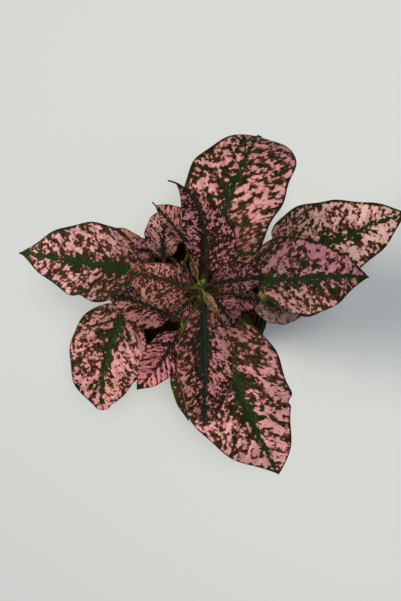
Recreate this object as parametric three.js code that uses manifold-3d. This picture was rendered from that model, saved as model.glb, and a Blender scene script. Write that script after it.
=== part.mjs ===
// A young polka dot plant in a small round nursery pot.
// Millimetres, +Z up. The origin is the centre of the flat foot that the pot stands on.
// Seen from above, +X is to the right and +Y is up. Headings are degrees from +X towards +Y.
import * as THREE from 'three';
import { mergeVertices } from 'three/addons/utils/BufferGeometryUtils.js';
import Module from 'manifold-3d';

const wasm = await Module();
wasm.setup();

// Driving dimensions
const clearance = 0.3;

const pot = {
  height: 70,
  footRadius: 27,
  bodyTopRadius: 36.8,
  collarRadius: 38.6,
  lipRadius: 40,
  collarHeight: 11,
  lipHeight: 3,
  wall: 1.2,
  edgeRound: 0.8,
  footRound: 0.6,
  sides: 36,
  drainHoles: 6,
  drainRadius: 3,
  drainCircle: 18,
  drainSides: 10,
};

// The surface is a low mound with long and short waves over it, given by their lengths and height.
const soil = {
  level: 58,
  mound: 1.6,
  lump: 0.9,
  longWave: 21,
  shortWave: 12,
  rings: 6,
  shoulder: 2,
  holeDepth: 22,
  holeSides: 14,
};

// Each shoot is a smooth curve through its points, and swells a little at each joint. The side shoots
// start inside the main stem.
const shoots = {
  main: {
    points: [
      [0, 0, 36.6],
      [0, 0, 48],
      [0, 0, 59],
      [0.6, 3, 82],
      [0.3, 6.6, 108],
      [-0.2, 10.4, 136],
      [-0.3, 11, 142],
    ],
    radii: [2.3, 1.1],
    joints: [72, 80, 92, 106, 120, 132],
    bud: 1.9,
    sides: 10,
  },
  southWest: {
    points: [[0, 3.4, 84], [-4.2, -1.2, 94], [-8, -7.2, 106], [-9, -9.6, 115]],
    radii: [1.5, 1],
    joints: [107],
    bud: 1.7,
    sides: 8,
  },
  northWest: {
    points: [[0, 3.6, 84], [-3.8, 11, 92], [-8.2, 20.4, 101], [-9.2, 23.4, 109]],
    radii: [1.5, 1],
    joints: [98, 105],
    bud: 1.4,
    sides: 8,
  },
  east: {
    points: [[0, 3.8, 86], [6, 5.6, 94], [11.4, 7.2, 104], [12.8, 7.6, 110]],
    radii: [1.4, 0.9],
    joints: [105],
    bud: 1.3,
    sides: 8,
  },
};
const joint = { swelling: 0.35, reach: 1.8, spacing: 3 };
const budShape = { below: 3, reach: 1.6, start: 6, rings: [6, 4, 2, 0.6], blunt: 0.3 };

// The stalk leaves its shoot at the height "at". "rise" is its slope there, in degrees, and the blade
// goes on from the stalk's end. "left" and "right" are the half widths, seen from the stalk.
// "heading", "pitch" and "roll" are angles at the base and at the tip of the blade.
const leafDefaults = {
  shoot: 'main',
  left: 10,
  right: 10,
  roll: [0, 0],
  widest: [0.36, 0.36],
  fullness: [0.62, 0.62],
  fold: 0.12,
  curl: 1.5,
  wave: 0.8,
  waves: 2.5,
  phase: 0,
  late: 1.6,
  swing: 1,
  ripple: 0.025,
  size: 'small',
};

const leaves = [
  {
    name: 'leaf_north', at: 92, stalk: { length: 13, heading: 76, rise: 40 },
    length: 90, left: 25, right: 27.8, heading: [80, 61.5], swing: 0.75, pitch: [12, -50],
    roll: [0, -11], widest: [0.52, 0.635], fullness: [0.88, 0.36], wave: 1.2, size: 'large',
  },
  {
    name: 'leaf_east_low', at: 80, stalk: { length: 45.5, heading: 26, rise: 30 },
    length: 79, left: 24.6, right: 20, heading: [24, 21], pitch: [2, -18],
    widest: [0.26, 0.4], fullness: [0.34, 0.62], wave: 1.2, curl: 2, phase: 1.2, size: 'large',
  },
  {
    name: 'leaf_east', at: 106, stalk: { length: 26, heading: 17, rise: 34 },
    length: 63, left: 21.5, right: 19.3, heading: [4.8, -0.4], pitch: [6, -28],
    widest: [0.27, 0.42], fullness: [0.34, 1.05], wave: 1.4, curl: 2, phase: 2.1, size: 'large',
  },
  {
    name: 'leaf_south_low', at: 92, stalk: { length: 9, heading: 297, rise: 38 },
    length: 99, left: 26.6, right: 30, heading: [289, 298], pitch: [6, -28],
    widest: [0.37, 0.42], fullness: [0.46, 0.85], wave: 1.8, curl: 2.5, phase: 0.6, size: 'large',
  },
  {
    name: 'leaf_south', at: 120, stalk: { length: 4, heading: 283, rise: 44 },
    length: 67, left: 14.5, right: 13.5, heading: [272, 269], pitch: [18, -52],
    widest: [0.45, 0.45], fullness: [0.7, 0.7], wave: 1, curl: 3.5, fold: 0.1, size: 'large',
  },
  {
    name: 'leaf_southwest', at: 80, stalk: { length: 41, heading: 169, rise: 30 },
    length: 63, left: 22, right: 21, heading: [236, 274], pitch: [2, -28],
    widest: [0.42, 0.4], fullness: [0.62, 0.54], wave: 1.5, curl: 2, phase: 0.9, size: 'large',
  },
  {
    name: 'leaf_west', at: 106, stalk: { length: 31, heading: 158, rise: 32 },
    length: 68, left: 19, right: 21, heading: [168, 173], pitch: [4, -28],
    fullness: [0.72, 0.7], wave: 1.5, curl: 2, phase: 1.7, size: 'large',
  },
  {
    name: 'leaf_north_top', at: 120, stalk: { length: 6, heading: 80, rise: 42 },
    length: 54, left: 10.5, right: 15.5, heading: [86, 172], swing: 2.4, pitch: [20, -6],
    widest: [0.46, 0.31], fullness: [0.8, 0.95], wave: 1, fold: 0.3, curl: 1, phase: 2.6, size: 'large',
  },
  {
    name: 'leaf_west_top', at: 132, stalk: { length: 2, heading: 190, rise: 36 },
    length: 34, left: 14, right: 7.5, heading: [162, 172], pitch: [2, -34],
    widest: [0.38, 0.42], wave: 0.8, size: 'middle',
  },
  {
    name: 'leaf_east_top', at: 132, stalk: { length: 2.5, heading: 13, rise: 36 },
    length: 27.5, left: 9, right: 6.5, heading: [10, 6], pitch: [4, -30],
    widest: [0.48, 0.48], wave: 0.6, phase: 1,
  },
  {
    name: 'leaf_northwest', shoot: 'northWest', at: 105, stalk: { length: 10, heading: 63, rise: 56 },
    length: 29, left: 4.5, right: 11.5, heading: [126, 134], pitch: [4, -14],
    fold: 0.3, wave: 0.6, phase: 0.4,
  },
  {
    name: 'leaf_northwest_round', shoot: 'northWest', at: 98, stalk: { length: 13, heading: 169, rise: 38 },
    length: 28, left: 10, right: 9, heading: [94, 78], pitch: [8, -20],
    widest: [0.48, 0.48], wave: 0.6, phase: 2,
  },
  {
    name: 'leaf_northwest_narrow', shoot: 'northWest', at: 94, stalk: { length: 4, heading: 170, rise: 46 },
    length: 22, left: 4, right: 4, heading: [164, 168], pitch: [2, -14], fold: 0.3, wave: 0.4,
  },
  {
    name: 'leaf_west_low', at: 72, stalk: { length: 34, heading: 137, rise: 38 },
    length: 33, left: 9, right: 8, heading: [146, 148], pitch: [6, -20],
    widest: [0.48, 0.55], wave: 0.6, phase: 1.1,
  },
  {
    name: 'leaf_northwest_low', at: 80, stalk: { length: 38.5, heading: 119, rise: 40 },
    length: 26, left: 7.5, right: 7, heading: [174, 180], pitch: [4, -18],
    widest: [0.42, 0.42], wave: 0.5, phase: 0.2,
  },
  {
    name: 'leaf_west_middle', shoot: 'southWest', at: 107, stalk: { length: 5, heading: 154, rise: 46 },
    length: 39, left: 12, right: 9, heading: [158, 162], pitch: [4, -24],
    wave: 0.8, phase: 0.7, size: 'middle',
  },
  {
    name: 'leaf_southwest_small', shoot: 'southWest', at: 105, stalk: { length: 4, heading: 246, rise: 32 },
    length: 40.5, left: 9.8, right: 10.5, heading: [241, 226], pitch: [4, -28],
    widest: [0.38, 0.4], fold: 0.18, wave: 0.6, phase: 1.9, size: 'middle',
  },
  {
    name: 'leaf_south_hidden', at: 72, stalk: { length: 24, heading: 260, rise: 46 },
    length: 44, left: 9, right: 10, heading: [256, 277], pitch: [2, -18],
    wave: 0.6, phase: 0.3,
  },
  {
    name: 'leaf_east_round', at: 72, stalk: { length: 29, heading: 15, rise: 38 },
    length: 30, left: 13, right: 10.5, heading: [340, 346], pitch: [2, -14],
    widest: [0.48, 0.48], wave: 0.5, phase: 2.4,
  },
  {
    name: 'leaf_east_small', shoot: 'east', at: 104, stalk: { length: 5, heading: 336, rise: 50 },
    length: 14, left: 5, right: 7, heading: [356, 350], pitch: [4, -12],
    widest: [0.42, 0.42], wave: 0.3, curl: 0.8,
  },
  {
    name: 'leaf_southeast_top', at: 116, stalk: { length: 4, heading: 340, rise: 44 },
    length: 20, left: 9, right: 5.5, heading: [316, 296], pitch: [4, -20],
    widest: [0.44, 0.44], wave: 0.5, phase: 1.4, curl: 1,
  },
  {
    name: 'leaf_southwest_top', at: 116, stalk: { length: 4, heading: 214, rise: 44 },
    length: 16, left: 5, right: 7, heading: [224, 232], pitch: [4, -20],
    widest: [0.42, 0.42], wave: 0.5, phase: 0.5, curl: 1,
  },
  {
    name: 'leaf_northwest_top', at: 117.4, stalk: { length: 3, heading: 146, rise: 40 },
    length: 22, left: 6, right: 8, heading: [156, 162], pitch: [0, -8],
    widest: [0.42, 0.42], wave: 0.4, phase: 2.2, curl: 1,
  },
  {
    name: 'young_leaf_north', at: 136, stalk: { length: 2, heading: 108, rise: 60 },
    length: 13, left: 1.8, right: 1.6, heading: [112, 104], pitch: [36, 12],
    fold: 0.7, wave: 0.2, curl: 0, size: 'tiny',
  },
  {
    name: 'young_leaf_south', at: 136, stalk: { length: 2, heading: 300, rise: 50 },
    length: 15, left: 2.2, right: 2, heading: [300, 306], pitch: [22, -20],
    fold: 0.7, wave: 0.2, curl: 0, size: 'tiny',
  },
];

// How finely each size of leaf is divided: places along the blade, and steps across it.
const stations = {
  large: [0, 0.04, 0.12, 0.22, 0.33, 0.44, 0.55, 0.66, 0.77, 0.86, 0.93, 0.98],
  middle: [0, 0.05, 0.15, 0.28, 0.42, 0.56, 0.7, 0.83, 0.93, 0.98],
  small: [0, 0.06, 0.18, 0.34, 0.5, 0.66, 0.82, 0.93, 0.98],
  tiny: [0, 0.1, 0.3, 0.55, 0.8, 0.96],
};
const stepsAcross = { large: 6, middle: 6, small: 4, tiny: 4 };
const stalkRadius = { large: 1.1, middle: 0.9, small: 0.8, tiny: 0.6 };
const longStalk = 15;
const bladeThickness = 0.65;
const midribDepth = 0.5;
const leastHalfWidth = 0.4;
const foldRound = 1.5;
const edgeRipples = 3.7;
const sideLag = 1.9;
// The midrib is walked in short straight steps: these are the counts for a stalk's step and a blade.
const walk = { stalk: 60, blade: 400 };

const colours = {
  pot: new THREE.MeshStandardMaterial({ color: 0x14181a, roughness: 0.45, metalness: 0 }),
  soil: new THREE.MeshStandardMaterial({ color: 0x2e2118, roughness: 0.95, metalness: 0 }),
  stems: new THREE.MeshStandardMaterial({ color: 0x5d7a2a, roughness: 0.6, metalness: 0 }),
  leaf: new THREE.MeshStandardMaterial({ color: 0xb8687c, roughness: 0.5, metalness: 0 }),
  young: new THREE.MeshStandardMaterial({ color: 0x8a7a40, roughness: 0.5, metalness: 0 }),
};

const radians = THREE.MathUtils.degToRad;
const mix = THREE.MathUtils.lerp;
const vector = ([x, y, z]) => new THREE.Vector3(x, y, z);

function toSolid(geometry) {
  const bare = geometry.clone();
  bare.deleteAttribute('normal');
  bare.deleteAttribute('uv');
  const merged = mergeVertices(bare, 1e-4);
  return new wasm.Manifold(new wasm.Mesh({
    numProp: 3,
    vertProperties: new Float32Array(merged.attributes.position.array),
    triVerts: new Uint32Array(merged.index.array),
  }));
}

function toGeometry(solid) {
  const { vertProperties, triVerts } = solid.getMesh();
  const geometry = new THREE.BufferGeometry();
  geometry.setAttribute('position', new THREE.BufferAttribute(vertProperties, 3));
  geometry.setIndex(new THREE.BufferAttribute(triVerts, 1));
  geometry.computeVertexNormals();
  return geometry;
}

// A closed skin over rings of points, with a fan on the first ring and a point at the far end.
function skinRings(rings, start, end) {
  const count = rings[0].length;
  const points = [...rings.flat(), start, end];
  const startIndex = points.length - 2;
  const endIndex = points.length - 1;
  const index = [];
  for (let ring = 0; ring < rings.length - 1; ring += 1) {
    for (let i = 0; i < count; i += 1) {
      const a = ring * count + i;
      const b = ring * count + (i + 1) % count;
      const c = a + count;
      const d = b + count;
      // Each half of the ring takes its own diagonal, so both faces of a blade are split alike.
      if (i < count / 2) index.push(a, c, b, b, c, d);
      else index.push(a, c, d, a, d, b);
    }
  }
  const last = (rings.length - 1) * count;
  for (let i = 0; i < count; i += 1) {
    const next = (i + 1) % count;
    index.push(startIndex, i, next);
    index.push(endIndex, last + next, last + i);
  }
  const geometry = new THREE.BufferGeometry();
  geometry.setAttribute('position', new THREE.Float32BufferAttribute(points.flatMap((p) => p.toArray()), 3));
  geometry.setIndex(index);
  geometry.computeVertexNormals();
  return geometry;
}

function lathe(profile, sides) {
  const geometry = new THREE.LatheGeometry(profile.map(([r, z]) => new THREE.Vector2(r, z)), sides);
  geometry.rotateX(Math.PI / 2);
  return geometry;
}

function upright(radius, length, sides) {
  const cylinder = new THREE.CylinderGeometry(radius, radius, length, sides);
  cylinder.rotateX(Math.PI / 2);
  return cylinder;
}

// Pot

function potInnerRadius(z) {
  const top = pot.height - pot.collarHeight;
  return mix(pot.footRadius, pot.bodyTopRadius, Math.min(z / top, 1)) - pot.wall;
}

function makePot() {
  const collarFoot = pot.height - pot.collarHeight;
  const lipFoot = pot.height - pot.lipHeight;
  const inner = pot.collarRadius - pot.wall;
  const floorTop = pot.wall + pot.footRound;
  const body = toSolid(lathe([
    [0, 0],
    [pot.footRadius, 0],
    [pot.bodyTopRadius, collarFoot],
    [pot.collarRadius, collarFoot + pot.edgeRound],
    [pot.collarRadius, lipFoot],
    [pot.lipRadius, lipFoot + pot.footRound],
    [pot.lipRadius, pot.height - pot.edgeRound],
    [pot.lipRadius - pot.edgeRound, pot.height],
    [inner + pot.footRound, pot.height],
    [inner, pot.height - pot.wall],
    [inner, collarFoot + 2 * pot.edgeRound],
    [potInnerRadius(collarFoot), collarFoot],
    [potInnerRadius(floorTop), floorTop],
    [potInnerRadius(floorTop) - pot.wall, pot.wall],
    [0, pot.wall],
  ], pot.sides));
  let shell = body;
  for (let i = 0; i < pot.drainHoles; i += 1) {
    const angle = (i + 0.5) / pot.drainHoles * 2 * Math.PI;
    const drill = upright(pot.drainRadius, 4 * pot.wall, pot.drainSides);
    drill.translate(pot.drainCircle * Math.cos(angle), pot.drainCircle * Math.sin(angle), 0);
    shell = shell.subtract(toSolid(drill));
  }
  return toGeometry(shell);
}

// Soil

// The surface is level on the whole, a little higher in the middle and calmer towards the edge.
function soilHeight(x, y, edge) {
  const r = Math.hypot(x, y) / edge;
  const long = 2 * Math.PI / soil.longWave;
  const short = 2 * Math.PI / soil.shortWave;
  const lumps = Math.sin(long * x + 1) * Math.cos(long * y) + Math.sin(short * (x - y)) / 2;
  return soil.level + soil.mound * (1 / 2 - r * r) + soil.lump * lumps * (1 - r / 2);
}

function makeSoil() {
  const foot = pot.wall + clearance;
  const side = (z) => potInnerRadius(z) - clearance;
  const shoulder = soil.level - soil.shoulder;
  const edge = side(shoulder);
  const profile = [
    [0, foot],
    [side(foot) - soil.shoulder, foot],
    [side(foot + soil.shoulder), foot + soil.shoulder],
    [edge, shoulder],
  ];
  for (let ring = soil.rings; ring >= 0; ring -= 1) profile.push([edge * ring / soil.rings, soil.level]);
  const geometry = lathe(profile, pot.sides);
  const place = geometry.attributes.position;
  for (let i = 0; i < place.count; i += 1) {
    const onTop = place.getZ(i) > shoulder + soil.shoulder / 2;
    if (onTop) place.setZ(i, soilHeight(place.getX(i), place.getY(i), edge));
  }
  const holeRadius = shoots.main.radii[0] + 2 * clearance;
  const hole = upright(holeRadius, 2 * soil.holeDepth, soil.holeSides);
  hole.translate(0, 0, soil.level);
  return toGeometry(toSolid(geometry).subtract(toSolid(hole)));
}

// Stems

const bell = (x) => Math.exp(-x * x);

const shootCurve = (shoot) => new THREE.CatmullRomCurve3(shoot.points.map(vector), false, 'centripetal');

function pointAtHeight(curve, height) {
  let low = 0;
  let high = 1;
  for (let i = 0; i < 40; i += 1) {
    const middle = (low + high) / 2;
    if (curve.getPoint(middle).z < height) low = middle;
    else high = middle;
  }
  return curve.getPoint(low);
}

function shootRadius(shoot, height) {
  const bottom = shoot.points[0][2];
  const top = shoot.points[shoot.points.length - 1][2];
  const plain = mix(shoot.radii[0], shoot.radii[1], (height - bottom) / (top - bottom));
  const swellings = shoot.joints.map((at) => joint.swelling * bell((height - at) / joint.reach));
  return plain + Math.max(...swellings);
}

function makeShoot(shoot) {
  const curve = shootCurve(shoot);
  const bottom = shoot.points[0][2];
  const top = shoot.points[shoot.points.length - 1][2];
  const bends = shoot.points.slice(0, 3).map((point) => point[2]);
  const swellings = shoot.joints.flatMap((at) => [at - joint.spacing, at, at + joint.spacing]);
  const heights = [...bends, ...swellings].filter((height) => height < top - budShape.start - 1);
  heights.sort((a, b) => a - b);
  heights.push(...budShape.rings.map((below) => top - below));
  const rings = heights.map((height) => {
    const centre = pointAtHeight(curve, height);
    const swell = bell((height - top + budShape.below) / budShape.reach);
    const taper = Math.min(1, (top + budShape.blunt - height) / 2);
    const radius = mix(shootRadius(shoot, height), shoot.bud, swell) * taper;
    const ring = [];
    for (let i = 0; i < shoot.sides; i += 1) {
      const angle = -i / shoot.sides * 2 * Math.PI;
      ring.push(new THREE.Vector3(radius * Math.cos(angle), radius * Math.sin(angle), 0).add(centre));
    }
    return ring;
  });
  return skinRings(rings, pointAtHeight(curve, bottom), pointAtHeight(curve, top - 0.01));
}

function makeStems() {
  const solids = Object.values(shoots).map((shoot) => toSolid(makeShoot(shoot)));
  return toGeometry(solids.reduce((joined, solid) => joined.add(solid)));
}

// Leaves

// The place and the slope of the midrib, walked from the stalk's foot to the tip of the blade.
function walkMidrib(leaf, stalkSteps, bladePlaces) {
  const shoot = shoots[leaf.shoot];
  const curve = shootCurve(shoot);
  const place = pointAtHeight(curve, leaf.at);
  const ahead = pointAtHeight(curve, leaf.at + 1).sub(place).normalize();
  const outward = vector([Math.cos(radians(leaf.stalk.heading)), Math.sin(radians(leaf.stalk.heading)), 0]);
  // A leaning shoot is wider across its lean, and comes nearer to a stalk on the side that it leans to.
  const lean = ahead.dot(outward) / ahead.z;
  const shootSide = shootRadius(shoot, leaf.at) * Math.hypot(1, lean);
  const stalkEnd = stalkRadius[leaf.size] * (Math.sin(radians(leaf.stalk.rise)) + Math.max(0, lean));
  place.addScaledVector(outward, shootSide + clearance + stalkEnd);
  const frames = [];
  const record = (heading, pitch, roll, along) => {
    const h = radians(heading);
    const p = radians(pitch);
    const forward = new THREE.Vector3(Math.cos(h) * Math.cos(p), Math.sin(h) * Math.cos(p), Math.sin(p));
    const side = new THREE.Vector3(Math.sin(h), -Math.cos(h), 0).applyAxisAngle(forward, radians(roll));
    const up = side.clone().cross(forward);
    frames.push({ place: place.clone(), forward, side, up, along });
    return forward;
  };
  const stalkWalk = walk.stalk * stalkSteps;
  for (let i = 0; i < stalkWalk; i += 1) {
    const t = i / stalkWalk;
    const turn = t ** 3;
    const heading = mix(leaf.stalk.heading, nearAngle(leaf.heading[0], leaf.stalk.heading), turn);
    const forward = record(heading, mix(leaf.stalk.rise, leaf.pitch[0], t), leaf.roll[0] * turn, t - 1);
    if (i % walk.stalk) frames.pop();
    place.addScaledVector(forward, leaf.stalk.length / stalkWalk);
  }
  let next = 0;
  for (let i = 0; i <= walk.blade; i += 1) {
    const t = i / walk.blade;
    const pitch = mix(leaf.pitch[0], leaf.pitch[1], t ** leaf.late);
    const heading = mix(leaf.heading[0], leaf.heading[1], t ** leaf.swing);
    const forward = record(heading, pitch, mix(leaf.roll[0], leaf.roll[1], t), t);
    if (next < bladePlaces.length && t >= bladePlaces[next] - 1e-9) next += 1;
    else frames.pop();
    place.addScaledVector(forward, leaf.length / walk.blade);
  }
  return frames;
}

function nearAngle(angle, other) {
  return angle + 360 * Math.round((other - angle) / 360);
}

// Half width of the blade as a share of its greatest: round at the base, drawn out to a tip.
function outline(t, widest, fullness) {
  const drawn = fullness * (1 - widest) / widest;
  return (t / widest) ** fullness * ((1 - t) / (1 - widest)) ** drawn;
}

// How far a point of the blade stands above the flat, across it at s from -1 to 1.
function relief(leaf, s, across, t) {
  const greatest = Math.max(leaf.left, leaf.right);
  const folded = leaf.fold * (Math.hypot(across, foldRound) - foldRound);
  const curled = -leaf.curl * (across / greatest) ** 2;
  const beat = 2 * Math.PI * leaf.waves * t + leaf.phase + (s > 0 ? sideLag : 0);
  const waved = leaf.wave * s * s * Math.sin(beat) * Math.sqrt(Math.max(0, Math.sin(Math.PI * t)));
  return folded + curled + waved;
}

function makeLeaf(given) {
  const leaf = { ...leafDefaults, ...given };
  const steps = stepsAcross[leaf.size];
  const radius = stalkRadius[leaf.size];
  const stalkSteps = leaf.stalk.length > longStalk ? 3 : 1;
  const frames = walkMidrib(leaf, stalkSteps, [...stations[leaf.size], 1]);
  const tip = frames.pop();
  const rings = frames.map(({ place, side, up, along }) => {
    const upper = [];
    const lower = [];
    for (let j = 0; j <= steps; j += 1) {
      const angle = Math.PI * (j + 0.5) / (steps + 1);
      const round = { across: -radius * Math.cos(angle), high: radius * Math.sin(angle) };
      const s = 2 * j / steps - 1;
      const half = s < 0 ? 0 : 1;
      const plain = along > 0 ? outline(along, leaf.widest[half], leaf.fullness[half]) : 0;
      const beat = 2 * Math.PI * edgeRipples * along + leaf.phase + half * sideLag;
      const width = [leaf.left, leaf.right][half] * plain * (1 + leaf.ripple * Math.sin(beat));
      const across = s * Math.max(width, leastHalfWidth);
      const flat = along > 0 ? relief(leaf, s, across, along) : 0;
      const rib = midribDepth * Math.max(0, 1 - Math.abs(s) * steps / 2) * (1 - along);
      const top = along > 0 ? { across, high: flat + bladeThickness / 2 } : round;
      const under = along > 0
        ? { across, high: flat - bladeThickness / 2 - rib }
        : { across: round.across, high: -round.high };
      upper.push(place.clone().addScaledVector(side, top.across).addScaledVector(up, top.high));
      lower.push(place.clone().addScaledVector(side, under.across).addScaledVector(up, under.high));
    }
    return [...lower, ...upper.reverse()];
  });
  return skinRings(rings, frames[0].place, tip.place);
}

// The model

const plant = new THREE.Group();

function addMesh(name, geometry, material) {
  const mesh = new THREE.Mesh(geometry, material);
  mesh.name = name;
  plant.add(mesh);
}

addMesh('pot', makePot(), colours.pot);
addMesh('soil', makeSoil(), colours.soil);
addMesh('stems', makeStems(), colours.stems);
for (const leaf of leaves) {
  addMesh(leaf.name, makeLeaf(leaf), leaf.size === 'tiny' ? colours.young : colours.leaf);
}

export default plant;
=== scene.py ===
import math
import random
from types import SimpleNamespace

import bpy
import numpy as np
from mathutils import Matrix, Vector, noise


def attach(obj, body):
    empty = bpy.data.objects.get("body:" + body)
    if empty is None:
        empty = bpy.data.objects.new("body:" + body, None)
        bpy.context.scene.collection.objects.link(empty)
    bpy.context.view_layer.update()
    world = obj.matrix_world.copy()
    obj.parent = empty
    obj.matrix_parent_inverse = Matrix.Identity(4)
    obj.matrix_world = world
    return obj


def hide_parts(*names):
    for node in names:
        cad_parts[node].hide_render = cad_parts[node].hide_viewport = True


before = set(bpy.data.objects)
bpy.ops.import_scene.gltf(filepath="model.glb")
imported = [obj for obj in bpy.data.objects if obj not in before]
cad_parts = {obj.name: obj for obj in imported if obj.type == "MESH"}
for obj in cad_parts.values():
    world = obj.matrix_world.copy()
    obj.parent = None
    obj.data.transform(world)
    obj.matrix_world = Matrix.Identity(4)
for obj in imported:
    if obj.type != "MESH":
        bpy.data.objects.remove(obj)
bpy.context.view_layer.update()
mm = 0.001  # sizes below are in millimetres, and become metres in makePiece
print("frame loaded:", len(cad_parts), "parts")

# Camera, floor and light

# The camera looks straight down. Its height and places are in mm.
viewFrom = {"height": 421, "across": 0, "up": 3.2, "lens": 36, "sensor": 36, "nearest": 10}
floorLook = {
    "size": 9000, "colour": (0.705, 0.705, 0.69), "shine": 0.2, "roughness": 0.9,
    "fibre": 0.02, "fibreSize": 3, "paintedShadeFactor": 0.92, "paintedShadeTowards": (-0.6, -0.8), "paintedShadeRamp": (60, 330),
}
windowLight = {"heading": 182, "elevation": 25, "softness": 22, "strength": 3.4, "colour": (1, 0.95, 0.82)}
ceilingLight = {"place": (60, 80, 1000), "size": 300, "watts": 3.9, "colour": (1, 0.975, 0.94)}
skyLight = {"colour": (0.6, 0.815, 1.0), "strength": 0.27}


def addCamera():
    camera = bpy.data.objects.new("camera", bpy.data.cameras.new("camera"))
    camera.data.lens = viewFrom["lens"]
    camera.data.sensor_width = viewFrom["sensor"]
    camera.data.clip_start = viewFrom["nearest"] * mm
    camera.location = (viewFrom["across"] * mm, viewFrom["up"] * mm, viewFrom["height"] * mm)
    bpy.context.scene.collection.objects.link(camera)
    bpy.context.scene.camera = camera


# Low, soft daylight from the west, and a soft lamp right overhead.
def addLights():
    daylight = bpy.data.lights.new("window", "SUN")
    daylight.energy = windowLight["strength"]
    daylight.angle = math.radians(windowLight["softness"])
    daylight.color = windowLight["colour"]
    window = bpy.data.objects.new("window", daylight)
    tilt = math.radians(90 - windowLight["elevation"])
    window.rotation_euler = (0, tilt, math.radians(windowLight["heading"]))
    lamp = bpy.data.lights.new("ceiling", "AREA")
    lamp.size = ceilingLight["size"] * mm
    lamp.energy = ceilingLight["watts"]
    lamp.color = ceilingLight["colour"]
    ceiling = bpy.data.objects.new("ceiling", lamp)
    ceiling.location = Vector(ceilingLight["place"]) * mm
    for light in (window, ceiling):
        bpy.context.scene.collection.objects.link(light)


def addSky():
    world = bpy.data.worlds.new("sky")
    world.use_nodes = True
    background = world.node_tree.nodes["Background"]
    background.inputs["Color"].default_value = (*skyLight["colour"], 1)
    background.inputs["Strength"].default_value = skyLight["strength"]
    bpy.context.scene.world = world
    bpy.context.scene.view_settings.view_transform = "Standard"


# Small helpers for meshes

def makePiece(name, points, faces, material):
    mesh = bpy.data.meshes.new(name)
    mesh.from_pydata((np.asarray(points) * mm).tolist(), [], faces)
    mesh.polygons.foreach_set("use_smooth", [True] * len(mesh.polygons))
    mesh.materials.append(material)
    mesh.update()
    piece = bpy.data.objects.new(name, mesh)
    bpy.context.scene.collection.objects.link(piece)
    return piece


# Keeps one value, or one place, for each point of a mesh, for its finish to read.
def setOnPoints(mesh, name, values):
    values = np.asarray(values, np.float32)
    kind, field = ("FLOAT_VECTOR", "vector") if values.ndim == 2 else ("FLOAT", "value")
    mesh.attributes.new(name, kind, "POINT").data.foreach_set(field, values.ravel())


# Faces over rings of points that follow each other, closed by a start and an end point.
def skinOver(ringCount, ringSize, start, end):
    faces = []
    for ring in range(ringCount - 1):
        for i in range(ringSize):
            a = ring * ringSize + i
            b = ring * ringSize + (i + 1) % ringSize
            faces.append((a, a + ringSize, b + ringSize, b))
    last = (ringCount - 1) * ringSize
    for i in range(ringSize):
        j = (i + 1) % ringSize
        faces.append((start, i, j))
        faces.append((end, last + j, last + i))
    return faces


def bell(x):
    return np.exp(-np.square(x))


def smooth(x):
    x = np.clip(x, 0, 1)
    return x * x * (3 - 2 * x)


def mix(a, b, t):
    return a + (b - a) * t


# Small helpers for finishes

def rgb(red, green, blue):
    return tuple((c / 255) ** 2.2 for c in (red, green, blue))


def plug(tree, socket, value):
    if isinstance(value, bpy.types.NodeSocket):
        tree.links.new(value, socket)
    elif value is not None:
        socket.default_value = value


def newMaterial(name, specular, roughness=None):
    material = bpy.data.materials.new(name)
    material.use_nodes = True
    tree = material.node_tree
    shader = tree.nodes["Principled BSDF"]
    plug(tree, shader.inputs["Specular IOR Level"], specular)
    plug(tree, shader.inputs["Roughness"], roughness)
    return material, tree, shader


def calc(tree, operation, *values):
    node = tree.nodes.new("ShaderNodeMath")
    node.operation = operation
    for socket, value in zip(node.inputs, values):
        plug(tree, socket, value)
    return node.outputs[0]


def times(tree, first, second):
    return calc(tree, "MULTIPLY", first, second)


def aroundZero(tree, noiseValue):
    return calc(tree, "SUBTRACT", noiseValue, 0.5)


def calcVector(tree, operation, first, second=None, scale=None):
    node = tree.nodes.new("ShaderNodeVectorMath")
    node.operation = operation
    plug(tree, node.inputs[0], first)
    plug(tree, node.inputs[1], second)
    plug(tree, node.inputs[3], scale)
    return node.outputs[0]


def splitVector(tree, vector):
    node = tree.nodes.new("ShaderNodeSeparateXYZ")
    plug(tree, node.inputs[0], vector)
    return node.outputs


# A smooth change. Where a dictionary has two numbers for one, they are where it starts and ends, and where
# it has four, the last two are what it goes from and to.
def fromTo(tree, value, low, high, newLow=0.0, newHigh=1.0):
    node = tree.nodes.new("ShaderNodeMapRange")
    node.interpolation_type = "SMOOTHSTEP"
    for socket, number in zip(node.inputs, (value, low, high, newLow, newHigh)):
        plug(tree, socket, number)
    return node.outputs[0]


# Sockets 6 and 7 and output 2 are the ones for colours on a Mix node.
def mixColours(tree, share, first, second):
    node = tree.nodes.new("ShaderNodeMix")
    node.data_type = "RGBA"
    plug(tree, node.inputs[0], share)
    for socket, colour in ((node.inputs[6], first), (node.inputs[7], second)):
        plug(tree, socket, colour if isinstance(colour, bpy.types.NodeSocket) else (*colour, 1))
    return node.outputs[2]


def noiseAt(tree, place, size, detail=2.0, rough=0.5, output="Fac"):
    node = tree.nodes.new("ShaderNodeTexNoise")
    plug(tree, node.inputs["Vector"], place)
    node.inputs["Scale"].default_value = 1 / size
    node.inputs["Detail"].default_value = detail
    node.inputs["Roughness"].default_value = rough
    return node.outputs[output]


def cellsAt(tree, place, size, feature="F1", output="Color"):
    node = tree.nodes.new("ShaderNodeTexVoronoi")
    node.feature = feature
    plug(tree, node.inputs["Vector"], place)
    node.inputs["Scale"].default_value = 1 / size
    return node.outputs[output]


def ramp(tree, value, stops):
    node = tree.nodes.new("ShaderNodeValToRGB")
    plug(tree, node.inputs[0], value)
    elements = node.color_ramp.elements
    while len(elements) < len(stops):
        elements.new(0.5)
    for element, (position, colour) in zip(elements, stops):
        element.position = position
        element.color = (*colour, 1)
    return node.outputs[0]


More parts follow.
